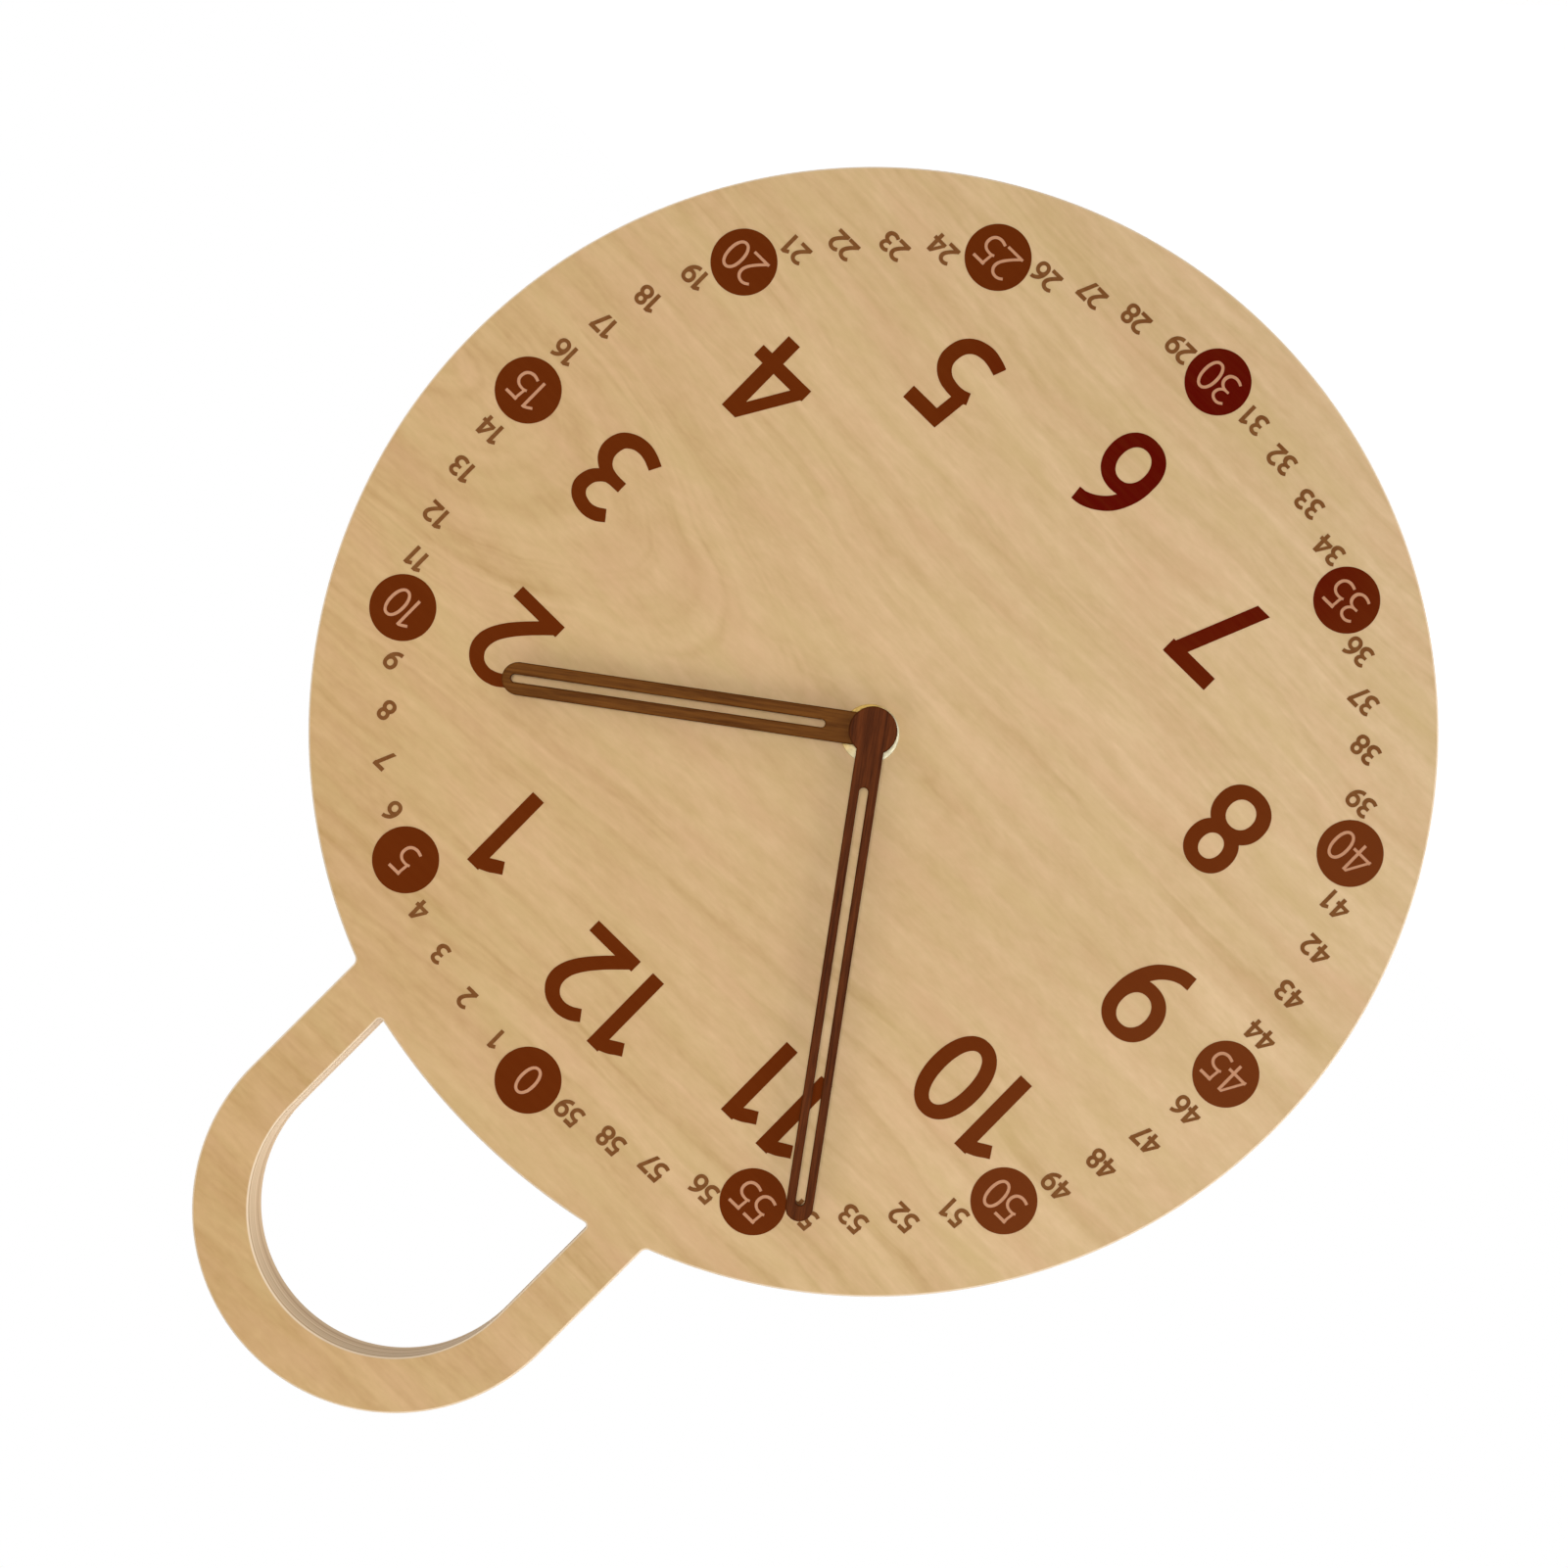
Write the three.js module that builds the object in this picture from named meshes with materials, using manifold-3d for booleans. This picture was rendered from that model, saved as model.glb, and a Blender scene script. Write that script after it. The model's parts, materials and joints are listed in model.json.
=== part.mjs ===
// A wooden wall clock that hangs by the round loop above its dial, with a battery movement behind the dial.
// Millimetres, +Z up, and the dial faces -Y.
// The origin is where the top of the loop's opening rests on its peg, in the plane of the wall.
// The movement is laid out from the hands' shaft: x across, z up, and a depth that counts from the wall.
// Bearings are degrees clockwise from 12 o'clock, as the front shows them.

import * as THREE from 'three';
import { mergeVertices } from 'three/addons/utils/BufferGeometryUtils.js';
import Module from 'manifold-3d';

const wasm = await Module();
wasm.setup();

// Wooden face and its loop
const faceDiameter = 300;
const faceSkin = 2;
const faceChamfer = 0.8;
const openingWidth = 78;
const openingCornerRadius = 1;
const openingFootRadius = 177;
const openingFootRise = 0.4;
const limbWidth = 15;
const limbFilletRadius = 2;
const archHeight = 179.5;
const pocketCornerRadius = 6;
const pocketClearance = 2;

// Hands
const handThickness = 2;
const handChamfer = 0.25;
const handHubDiameter = 12.8;
const hourHandLength = 99;
const hourHandWidth = 8.7;
const hourSlotWidth = 2.1;
const hourSlotStart = 12.8;
const hourTipWall = 2.3;
const minuteHandLength = 130.6;
const minuteHandWidth = 7.2;
const minuteSlotWidth = 2.4;
const minuteSlotStart = 15.2;
const minuteTipWall = 4.2;
const handSpacing = 0.5;
const hourBushWall = 1;
const minuteBushWall = 0.9;
const minuteBushDepth = 1.2;

// What clamps the movement to the face
const postDiameter = 7.8;
const postProud = 0.4;
const postFlangeDiameter = 10;
const postFlangeThickness = 0.7;
const postFlangeProud = 0.3;
const postHoleClearance = 0.3;
const frontWasherDiameter = 15.6;
const frontWasherThickness = 0.6;
const nutAcrossFlats = 11;
const nutThickness = 1.8;
const gasketDiameter = 22;
const gasketThickness = 0.5;

// Movement case and cover
const caseWall = 1;
const caseFrontWall = 1;
const caseCornerRadius = 3;
const flushGap = 0.2;
const bayFloor = 0.6;
const coverThickness = 1.2;
const coverLipWall = 0.8;
const coverLipHeight = 1;
const partitionThickness = 1;
const trainMargin = 3.15;
const topRoom = 3;
const postRadius = 1.6;
const pinRadius = 1.2;
const blindDepth = 0.6;

// Battery and contacts
const batteryDiameter = 14.5;
const batteryLength = 50.5;
const batteryEdge = 0.6;
const nubDiameter = 5.5;
const nubHeight = 1.2;
const batterySideGap = 0.3;
const batteryLift = 0.1;
const contactThickness = 0.3;
const contactWidth = 3;
const contactGap = 0.1;
const leafReach = 3;
const leafFoot = 2;
const leafFlat = 4;

// Wheels and pinions
const rotorTeeth = 8;
const fifthWheelTeeth = 48;
const fifthPinionTeeth = 8;
const secondWheelTeeth = 40;
const secondPinionTeeth = 8;
const thirdWheelTeeth = 64;
const thirdPinionTeeth = 8;
const centreWheelTeeth = 60;
const cannonTeeth = 12;
const minuteWheelTeeth = 36;
const minutePinionTeeth = 10;
const hourWheelTeeth = 40;
const knobTeeth = 12;
const rotorModule = 0.2;
const centreModule = 0.25;
const cannonModule = 0.35;
const toothRiseShare = 1;
const toothFallShare = 1.3;
const toothRootShare = 0.56;
const toothTipShare = 0.22;
const wheelThickness = 0.7;
const wheelGap = 0.5;
const pinionOverhang = 0.2;
const arborRadius = 0.5;
const pivotRadius = 0.35;
const pivotBite = 0.7;
const bossRadius = 1.2;
const bossHeight = 1;
const hubRadius = 1.8;
const hubClearance = 0.2;
const clutchWasherRadius = 1.7;
const clutchWasherThickness = 0.3;
const minutePipeRadius = 1.6;
const hourPipeRadius = 2.5;
const runningClearance = 0.1;
const thirdBearing = -70;
const fifthBearing = 30;
const rotorBearing = 30;
const minuteWheelBearing = 90;
const knobBearing = 70;

// Bridge, setting knob
const bridgeThickness = 0.8;
const bridgeCornerRadius = 2;
const bridgeMargin = 1;
const bridgeInset = 1.9;
const bridgeDrop = 1.5;
const knobRadius = 4.5;
const knobThickness = 1.8;
const knobFlutes = 24;
const knobFluteDepth = 0.25;
const knobSink = 0.2;
const knobClearance = 0.3;
const knobShaftRadius = 1.2;

// Stepping motor
const magnetRadius = 3;
const magnetThickness = 1.8;
const magnetAirGap = 0.4;
const statorRingWall = 1.4;
const statorThickness = 0.8;
const legWidth = 4;
const coreWidth = 2.4;
const coreThickness = 0.8;
const bobbinLength = 20;
const bobbinTubeRadius = 1.7;
const flangeHalf = 3;
const flangeThickness = 0.8;
const windingRadius = 2.8;
const coilGap = 0.8;
const legGap = 0.3;
const screwHeadRadius = 1.5;
const screwHeadHeight = 0.8;
const screwShankRadius = 0.8;
const screwBite = 3.5;
const coilPostRadius = 1.8;

// Circuit board
const circuitHeight = 24;
const circuitThickness = 1;
const circuitEdgeGap = 1;
const circuitWheelGap = 0.7;
const circuitLift = 2.9;
const chipRadius = 2.5;
const chipHeight = 1;
const crystalRadius = 1;
const crystalLength = 6;
const crystalGap = 0.05;

// Clearances and roundness that all pieces share
const fitGap = 0.1;
const cutOverrun = 1;
const outlineSag = 0.05;
const roundSag = 0.04;
const fewestSides = 12;

// Where the hands stand at rest
const hourHandBearing = 53.4;
const minuteHandBearing = 323.8;

// Depths, from the wall to the front
const runningDepth = postFlangeProud + wheelGap + 6 * (wheelThickness + wheelGap)
  + clutchWasherThickness + bridgeThickness + magnetThickness;
const trainDepth = caseFrontWall + runningDepth + wheelGap + bossHeight + coverThickness;
const batteryDepth = bayFloor + batteryDiameter + 2 * batteryLift;
const caseDepth = Math.max(trainDepth, batteryDepth);
const caseRear = flushGap;
const caseFront = caseRear + caseDepth;
const caseInside = caseFront - caseFrontWall;
const coverInside = caseRear + coverThickness;
const gasketFront = caseFront + gasketThickness;
const faceFront = gasketFront + faceSkin;
const washerFront = faceFront + frontWasherThickness;
const nutFront = washerFront + nutThickness;
const postFront = nutFront + postProud;
const hourHandRear = postFront + handSpacing;
const hourHandFront = hourHandRear + handThickness;
const minuteHandRear = hourHandFront + handSpacing;
const minuteHandFront = minuteHandRear + handThickness;
const minutePipeFront = minuteHandRear + minuteBushDepth - 2 * fitGap;
const flangeRear = caseInside - postFlangeProud;
const hourWheelFront = flangeRear - wheelGap;
const hourWheelRear = hourWheelFront - wheelThickness;
const minuteWheelFront = hourWheelRear - wheelGap;
const minuteWheelRear = minuteWheelFront - wheelThickness;
const cannonRear = minuteWheelRear - pinionOverhang;
const hubFront = cannonRear - clutchWasherThickness;
const bridgeFront = hubFront;
const bridgeRear = bridgeFront - bridgeThickness;
const centreWheelFront = bridgeRear - wheelGap;
const centreWheelRear = centreWheelFront - wheelThickness;
const thirdWheelFront = centreWheelRear - wheelGap;
const thirdWheelRear = thirdWheelFront - wheelThickness;
const secondWheelFront = thirdWheelRear - wheelGap;
const secondWheelRear = secondWheelFront - wheelThickness;
const fifthWheelFront = secondWheelRear - wheelGap;
const fifthWheelRear = fifthWheelFront - wheelThickness;
const magnetFront = fifthWheelRear - wheelGap;
const magnetRear = magnetFront - magnetThickness;
const bossFront = coverInside + bossHeight;
const statorRear = (magnetRear + magnetFront - statorThickness) / 2;
const statorFront = statorRear + statorThickness;
const coreFront = statorFront + coreThickness;
const coilDepth = (statorFront + coreFront) / 2;
const batteryAxisDepth = caseFront - bayFloor - batteryLift - batteryDiameter / 2;
const contactRear = batteryAxisDepth - contactWidth / 2;
const contactFront = contactRear + contactWidth;
const circuitFront = contactRear;
const circuitRear = circuitFront - circuitThickness;
const knobRear = caseRear + knobSink;
const knobFront = knobRear + knobThickness;

// Sizes and places across the dial
const dialCentreHeight = -(archHeight + openingWidth / 2);
const postRadiusOuter = postDiameter / 2;
const handHubRadius = handHubDiameter / 2;
const pairDistance = (gearModule, teethA, teethB) => gearModule * (teethA + teethB) / 2;
const pairModule = (distance, teethA, teethB) => 2 * distance / (teethA + teethB);
const tipRadius = (gearModule, teeth) => gearModule * (teeth / 2 + toothRiseShare);
const motionDistance = pairDistance(cannonModule, cannonTeeth, minuteWheelTeeth);
const hourModule = pairModule(motionDistance, minutePinionTeeth, hourWheelTeeth);
const thirdDistance = pairDistance(centreModule, thirdPinionTeeth, centreWheelTeeth);
const secondModule = pairModule(thirdDistance, secondPinionTeeth, thirdWheelTeeth);
const centreWheelRadius = tipRadius(centreModule, centreWheelTeeth);
const thirdWheelRadius = tipRadius(secondModule, thirdWheelTeeth);
const fifthDistance = centreWheelRadius + arborRadius + wheelGap;
const fifthModule = pairModule(fifthDistance, fifthPinionTeeth, secondWheelTeeth);
const rotorDistance = pairDistance(rotorModule, rotorTeeth, fifthWheelTeeth);
const shaft = new THREE.Vector2(0, 0);
const third = along(shaft, thirdDistance, thirdBearing);
const fifth = along(shaft, fifthDistance, fifthBearing);
const rotor = along(fifth, rotorDistance, rotorBearing);
const minuteArbor = along(shaft, motionDistance, minuteWheelBearing);
const knob = along(minuteArbor, motionDistance, knobBearing);
const statorHoleRadius = magnetRadius + magnetAirGap;
const statorRingRadius = statorHoleRadius + statorRingWall;
const legX = bobbinLength / 2 + legGap + legWidth / 2;
const coil = new THREE.Vector2(shaft.x, rotor.y + statorRingRadius + coilGap + flangeHalf);
const coilEnds = { left: new THREE.Vector2(-legX, coil.y), right: new THREE.Vector2(legX, coil.y) };
const innerHalfWidth = (contactThickness + 2 * contactGap + batteryLength + leafReach) / 2;
const innerTop = coil.y + flangeHalf + topRoom;
const partitionTop = -(centreWheelRadius + trainMargin);
const partitionBottom = partitionTop - partitionThickness;
const bayBottom = partitionBottom - batteryDiameter - 2 * batterySideGap;
const batteryHeight = (partitionBottom + bayBottom) / 2;
const batteryLeft = -innerHalfWidth + contactThickness + contactGap;
const outerHalfWidth = innerHalfWidth + caseWall;
const caseBox = box(-outerHalfWidth, bayBottom - caseWall, outerHalfWidth, innerTop + caseWall);
const trainBox = box(-innerHalfWidth, partitionTop, innerHalfWidth, innerTop);
const cavityRadius = caseCornerRadius - caseWall;
const bayBox = box(-innerHalfWidth, bayBottom, innerHalfWidth, partitionBottom);
const bridgeBox = box(-(legX + legWidth / 2 + bridgeMargin), partitionTop + bridgeDrop,
  knob.x + knobShaftRadius + bridgeMargin, coil.y + legWidth / 2 + bridgeMargin);
const circuitBox = box(-innerHalfWidth + circuitEdgeGap, partitionTop + circuitLift,
  third.x - thirdWheelRadius - circuitWheelGap, partitionTop + circuitLift + circuitHeight);
const circuitMiddle = (circuitBox.min.x + circuitBox.max.x) / 2;
const contactTabHeight = circuitBox.min.y + contactWidth;
const lowerCorners = [bridgeBox.min.x, bridgeBox.max.x].map(
  (x) => new THREE.Vector2(x - Math.sign(x) * bridgeInset, bridgeBox.min.y + bridgeInset));
const circuitPosts = [
  contactTabHeight + contactThickness / 2 + contactGap + postRadius,
  circuitBox.max.y - 2 * postRadius,
].map((y) => new THREE.Vector2(circuitMiddle, y));
const coverPivots = [shaft, third, fifth, rotor];

// Colours and finishes
const maple = finish(0xd2b083, 0.6, 0);
const walnut = finish(0x5a3426, 0.55, 0);
const brass = finish(0xd9b45a, 0.3, 1);
const steel = finish(0xb9bcc0, 0.35, 1);
const copper = finish(0xb5652c, 0.4, 1);
const blackPlastic = finish(0x1c1c1e, 0.6, 0);
const whitePlastic = finish(0xe6e3da, 0.5, 0);
const rubber = finish(0x202020, 0.9, 0);
const circuitGreen = finish(0x2f6b45, 0.5, 0);
const batteryGrey = finish(0x6f7680, 0.4, 0.5);

// Flat outlines, drawn as the front shows them
function along(from, distance, bearing) {
  const angle = THREE.MathUtils.degToRad(bearing);
  return new THREE.Vector2(from.x + distance * Math.sin(angle), from.y + distance * Math.cos(angle));
}

function box(left, bottom, right, top) {
  return new THREE.Box2(new THREE.Vector2(left, bottom), new THREE.Vector2(right, top));
}

function sidesFor(radius, sag) {
  return Math.max(fewestSides, Math.ceil(Math.PI / Math.acos(1 - sag / radius)));
}

function arc(centre, radius, start, end, sag = roundSag) {
  const steps = Math.max(2, Math.ceil(sidesFor(radius, sag) * Math.abs(end - start) / (2 * Math.PI)));
  return Array.from({ length: steps + 1 }, (_, step) => {
    const angle = start + (end - start) * step / steps;
    return new THREE.Vector2(centre.x + radius * Math.cos(angle), centre.y + radius * Math.sin(angle));
  });
}

function outline(points) {
  const apart = points.filter((point, index) => index === 0 || point.distanceTo(points[index - 1]) > 0);
  return new THREE.Shape(apart);
}

function roundedBox(area, radius) {
  const corner = (x, y, quarter) => arc(new THREE.Vector2(x, y), radius,
    quarter * Math.PI / 2, (quarter + 1) * Math.PI / 2);
  return outline([
    ...corner(area.max.x - radius, area.max.y - radius, 0),
    ...corner(area.min.x + radius, area.max.y - radius, 1),
    ...corner(area.min.x + radius, area.min.y + radius, 2),
    ...corner(area.max.x - radius, area.min.y + radius, 3),
  ]);
}

function roundedTopBox(area, radius) {
  const corner = (x, quarter) => arc(new THREE.Vector2(x, area.max.y - radius), radius,
    quarter * Math.PI / 2, (quarter + 1) * Math.PI / 2);
  return outline([
    ...corner(area.max.x - radius, 0),
    ...corner(area.min.x + radius, 1),
    area.min,
    new THREE.Vector2(area.max.x, area.min.y),
  ]);
}

function plainBox(area) {
  return outline([area.min, new THREE.Vector2(area.max.x, area.min.y),
    area.max, new THREE.Vector2(area.min.x, area.max.y)]);
}

function gearOutline(teeth, gearModule) {
  const tip = tipRadius(gearModule, teeth);
  const root = gearModule * (teeth / 2 - toothFallShare);
  const rising = [[root, -toothRootShare], [tip, -toothTipShare]];
  const falling = [[tip, toothTipShare], [root, toothRootShare]];
  const corners = [...rising, ...falling];
  const spacing = 360 / teeth;
  return outline(Array.from({ length: teeth }, (_, tooth) => corners.map(
    ([radius, share]) => along(shaft, radius, (tooth + share / 2) * spacing))).flat());
}

function flutedOutline(radius, flutes, depth) {
  return outline(Array.from({ length: 2 * flutes },
    (_, edge) => along(shaft, radius - (edge % 2) * depth, edge * 180 / flutes)));
}

function hexagonOutline(acrossFlats) {
  const cornerRadius = acrossFlats / Math.sqrt(3);
  return outline(Array.from({ length: 6 }, (_, corner) => along(shaft, cornerRadius, corner * 60)));
}

// A strip of even thickness along a bent line
function stripOutline(line, thickness) {
  const side = (index) => {
    const before = line[Math.max(index - 1, 0)];
    const after = line[Math.min(index + 1, line.length - 1)];
    const into = line[index].clone().sub(before).normalize();
    const out = after.clone().sub(line[index]).normalize();
    const mean = into.add(out).normalize();
    const leg = index === 0 ? out : line[index].clone().sub(before).normalize();
    const across = new THREE.Vector2(-mean.y, mean.x);
    return across.multiplyScalar(thickness / 2 / Math.abs(across.dot(new THREE.Vector2(-leg.y, leg.x))));
  };
  const left = line.map((point, index) => point.clone().add(side(index)));
  const right = line.map((point, index) => point.clone().sub(side(index)));
  return outline([...left, ...right.reverse()]);
}

// Solids, closed and ready to be joined or cut
function toSolid(geometry) {
  const bare = geometry.clone();
  bare.deleteAttribute('normal');
  bare.deleteAttribute('uv');
  const merged = mergeVertices(bare);
  return new wasm.Manifold(new wasm.Mesh({
    numProp: 3,
    vertProperties: new Float32Array(merged.attributes.position.array),
    triVerts: new Uint32Array(merged.index.array),
  }));
}

function plate(shape, rear, front, chamfer = 0) {
  const geometry = new THREE.ExtrudeGeometry(shape, {
    depth: front - rear - 2 * chamfer,
    bevelEnabled: chamfer > 0,
    bevelThickness: chamfer,
    bevelSize: chamfer,
    bevelOffset: -chamfer,
    bevelSegments: 1,
  });
  geometry.rotateX(Math.PI / 2);
  geometry.translate(0, -(rear + chamfer), 0);
  return toSolid(geometry);
}

function disc(radius, rear, front, centre = shaft) {
  const geometry = new THREE.CylinderGeometry(radius, radius, front - rear, sidesFor(radius, roundSag));
  geometry.translate(centre.x, -(rear + front) / 2, centre.y);
  return toSolid(geometry);
}

function ring(outer, inner, rear, front, centre = shaft) {
  const bore = disc(inner, rear - cutOverrun, front + cutOverrun, centre);
  return disc(outer, rear, front, centre).subtract(bore);
}

function gear(teeth, gearModule, rear, front) {
  return plate(gearOutline(teeth, gearModule), rear, front);
}

function barAcross(radius, left, right, height, depth) {
  const geometry = new THREE.CylinderGeometry(radius, radius, right - left, sidesFor(radius, roundSag));
  geometry.rotateZ(Math.PI / 2);
  geometry.translate((left + right) / 2, -depth, height);
  return toSolid(geometry);
}

function joined(solids) {
  return solids.reduce((sum, solid) => sum.add(solid));
}

function cut(solid, tools) {
  return tools.reduce((rest, tool) => rest.subtract(tool), solid);
}

// Finished pieces
function finish(color, roughness, metalness) {
  return new THREE.MeshStandardMaterial({ color, roughness, metalness });
}

function piece(name, material, solid, place = shaft, bearing = 0) {
  const { vertProperties, triVerts, numProp } = solid.getMesh();
  const geometry = new THREE.BufferGeometry();
  const stored = new THREE.InterleavedBuffer(vertProperties, numProp);
  geometry.setAttribute('position', new THREE.InterleavedBufferAttribute(stored, 3, 0));
  geometry.setIndex(new THREE.BufferAttribute(triVerts, 1));
  geometry.computeVertexNormals();
  const mesh = new THREE.Mesh(geometry, material);
  mesh.name = name;
  mesh.position.set(place.x, 0, place.y);
  mesh.rotation.y = THREE.MathUtils.degToRad(bearing);
  return mesh;
}

// Wooden face with its loop
function openingOutline(arch) {
  const half = openingWidth / 2;
  const foot = new THREE.Vector2(0, faceDiameter / 2 + openingFootRise - openingFootRadius);
  const cornerX = half - openingCornerRadius;
  const cornerRise = Math.sqrt((openingFootRadius + openingCornerRadius) ** 2 - cornerX ** 2);
  const cornerAngle = Math.atan2(cornerRise, cornerX);
  const right = new THREE.Vector2(cornerX, foot.y + cornerRise);
  const left = new THREE.Vector2(-cornerX, foot.y + cornerRise);
  return outline([
    ...arc(arch, half, 0, Math.PI, outlineSag),
    ...arc(left, openingCornerRadius, Math.PI, 2 * Math.PI - cornerAngle),
    ...arc(foot, openingFootRadius, Math.PI - cornerAngle, cornerAngle, outlineSag).slice(1, -1),
    ...arc(right, openingCornerRadius, Math.PI + cornerAngle, 2 * Math.PI),
  ]);
}

function faceOutline() {
  const radius = faceDiameter / 2;
  const outerHalf = openingWidth / 2 + limbWidth;
  const arch = new THREE.Vector2(0, archHeight);
  const filletX = outerHalf + limbFilletRadius;
  const filletDistance = radius + limbFilletRadius;
  const filletY = Math.sqrt(filletDistance ** 2 - filletX ** 2);
  const filletAngle = Math.atan2(filletY, filletX);
  const right = new THREE.Vector2(filletX, filletY);
  const left = new THREE.Vector2(-filletX, filletY);
  const shape = outline([
    ...arc(arch, outerHalf, 0, Math.PI, outlineSag),
    ...arc(left, limbFilletRadius, 0, -filletAngle),
    ...arc(shaft, radius, Math.PI - filletAngle, 2 * Math.PI + filletAngle, outlineSag).slice(1, -1),
    ...arc(right, limbFilletRadius, Math.PI + filletAngle, Math.PI),
  ]);
  shape.holes.push(openingOutline(arch));
  return shape;
}

function facePanel() {
  const pocket = caseBox.clone().expandByScalar(pocketClearance);
  return cut(plate(faceOutline(), 0, faceFront, faceChamfer), [
    plate(roundedBox(pocket, pocketCornerRadius), -cutOverrun, gasketFront),
    disc(postRadiusOuter + postHoleClearance, 0, faceFront + cutOverrun),
  ]);
}

// Hands, drawn pointing to 12 o'clock
function handOutline(length, width, slotWidth, slotStart, tipWall) {
  const half = width / 2;
  const tip = new THREE.Vector2(0, length - half);
  const hubAngle = Math.acos(half / handHubRadius);
  const shape = outline([
    ...arc(tip, half, 0, Math.PI),
    ...arc(shaft, handHubRadius, Math.PI - hubAngle, 2 * Math.PI + hubAngle),
  ]);
  const slotHalf = slotWidth / 2;
  const slotTop = new THREE.Vector2(0, length - tipWall - slotHalf);
  const slotFoot = new THREE.Vector2(0, slotStart + slotHalf);
  shape.holes.push(outline([
    ...arc(slotTop, slotHalf, 0, Math.PI),
    ...arc(slotFoot, slotHalf, Math.PI, 2 * Math.PI),
  ]));
  return shape;
}

function hourHand() {
  const shape = handOutline(hourHandLength, hourHandWidth, hourSlotWidth, hourSlotStart, hourTipWall);
  const bushHole = disc(hourPipeRadius + fitGap + hourBushWall + fitGap,
    hourHandRear - cutOverrun, hourHandFront + cutOverrun);
  return plate(shape, hourHandRear, hourHandFront, handChamfer).subtract(bushHole);
}

function minuteHand() {
  const shape = handOutline(minuteHandLength, minuteHandWidth, minuteSlotWidth, minuteSlotStart,
    minuteTipWall);
  const bushHole = disc(minutePipeRadius + fitGap + minuteBushWall + fitGap,
    minuteHandRear - cutOverrun, minuteHandRear + minuteBushDepth);
  return plate(shape, minuteHandRear, minuteHandFront, handChamfer).subtract(bushHole);
}

function hourHandBush() {
  const bore = hourPipeRadius + fitGap;
  return ring(bore + hourBushWall, bore, hourHandRear, hourHandFront);
}

function minuteHandBush() {
  const bore = minutePipeRadius + fitGap;
  return ring(bore + minuteBushWall, bore, minuteHandRear, minuteHandRear + minuteBushDepth);
}

// Fixings that clamp the movement to the face
function threadedPost() {
  const solid = joined([
    disc(postFlangeDiameter / 2, flangeRear, flangeRear + postFlangeThickness),
    disc(postRadiusOuter, flangeRear, postFront),
  ]);
  const bore = hourPipeRadius + runningClearance;
  return solid.subtract(disc(bore, flangeRear - cutOverrun, postFront + cutOverrun));
}

function frontWasher() {
  return ring(frontWasherDiameter / 2, postRadiusOuter + fitGap, faceFront, washerFront);
}

function fixingNut() {
  return plate(hexagonOutline(nutAcrossFlats), washerFront, nutFront)
    .subtract(disc(postRadiusOuter + fitGap, washerFront - cutOverrun, nutFront + cutOverrun));
}

function gasket() {
  return ring(gasketDiameter / 2, postRadiusOuter + postHoleClearance, caseFront, gasketFront);
}

// Case of the movement
function movementCase() {
  const notches = [-1, 1].map((side) => {
    const wall = side * innerHalfWidth;
    const inner = wall - side * (contactThickness + 2 * fitGap);
    return plate(plainBox(box(Math.min(wall, inner), partitionBottom - cutOverrun,
      Math.max(wall, inner), partitionTop + cutOverrun)), contactRear - fitGap, contactFront + fitGap);
  });
  const coverRecess = caseBox.clone().expandByScalar(cutOverrun);
  coverRecess.min.y = partitionBottom - fitGap;
  const post = (centre, rear) => disc(postRadius, rear, caseInside + blindDepth, centre);
  const bridgeCentres = [...lowerCorners, ...Object.values(coilEnds)];
  const bridgePosts = bridgeCentres.map((centre) => post(centre, bridgeFront));
  const boardPosts = circuitPosts.map((centre) => post(centre, circuitFront));
  const shell = cut(plate(roundedBox(caseBox, caseCornerRadius), caseRear, caseFront), [
    plate(roundedTopBox(trainBox, cavityRadius), caseRear - cutOverrun, caseInside),
    plate(plainBox(bayBox), caseRear - cutOverrun, caseFront - bayFloor),
    plate(plainBox(coverRecess), caseRear - cutOverrun, coverInside),
    ...notches,
  ]);
  return cut(joined([shell, ...bridgePosts, ...boardPosts]), [
    disc(postRadiusOuter + fitGap, caseRear, caseFront + cutOverrun),
    disc(postFlangeDiameter / 2 + fitGap, caseRear, flangeRear + postFlangeThickness),
    disc(pivotRadius + runningClearance, caseRear, caseInside + blindDepth, minuteArbor),
    disc(arborRadius + runningClearance, caseRear, caseInside + blindDepth, knob),
  ]);
}

function backCover() {
  const area = caseBox.clone();
  area.min.y = partitionBottom;
  const lipOuter = trainBox.clone().expandByScalar(-fitGap);
  const lipInner = lipOuter.clone().expandByScalar(-coverLipWall);
  const lipFront = coverInside + coverLipHeight;
  const lip = plate(roundedTopBox(lipOuter, cavityRadius), caseRear, lipFront).subtract(
    plate(roundedTopBox(lipInner, cavityRadius), caseRear - cutOverrun, lipFront + cutOverrun));
  const bosses = coverPivots.map((centre) => disc(bossRadius, caseRear, bossFront, centre));
  const holdDowns = lowerCorners.map((centre) => disc(pinRadius, caseRear, bridgeRear, centre));
  const sheet = plate(roundedTopBox(area, caseCornerRadius), caseRear, coverInside);
  const bore = pivotRadius + runningClearance;
  const pivotHole = (centre) => disc(bore, coverInside, bossFront + cutOverrun, centre);
  return cut(joined([sheet, lip, ...bosses, ...holdDowns]), [
    disc(knobRadius + knobClearance, caseRear - cutOverrun, coverInside + cutOverrun, knob),
    ...coverPivots.map(pivotHole),
  ]);
}

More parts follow.
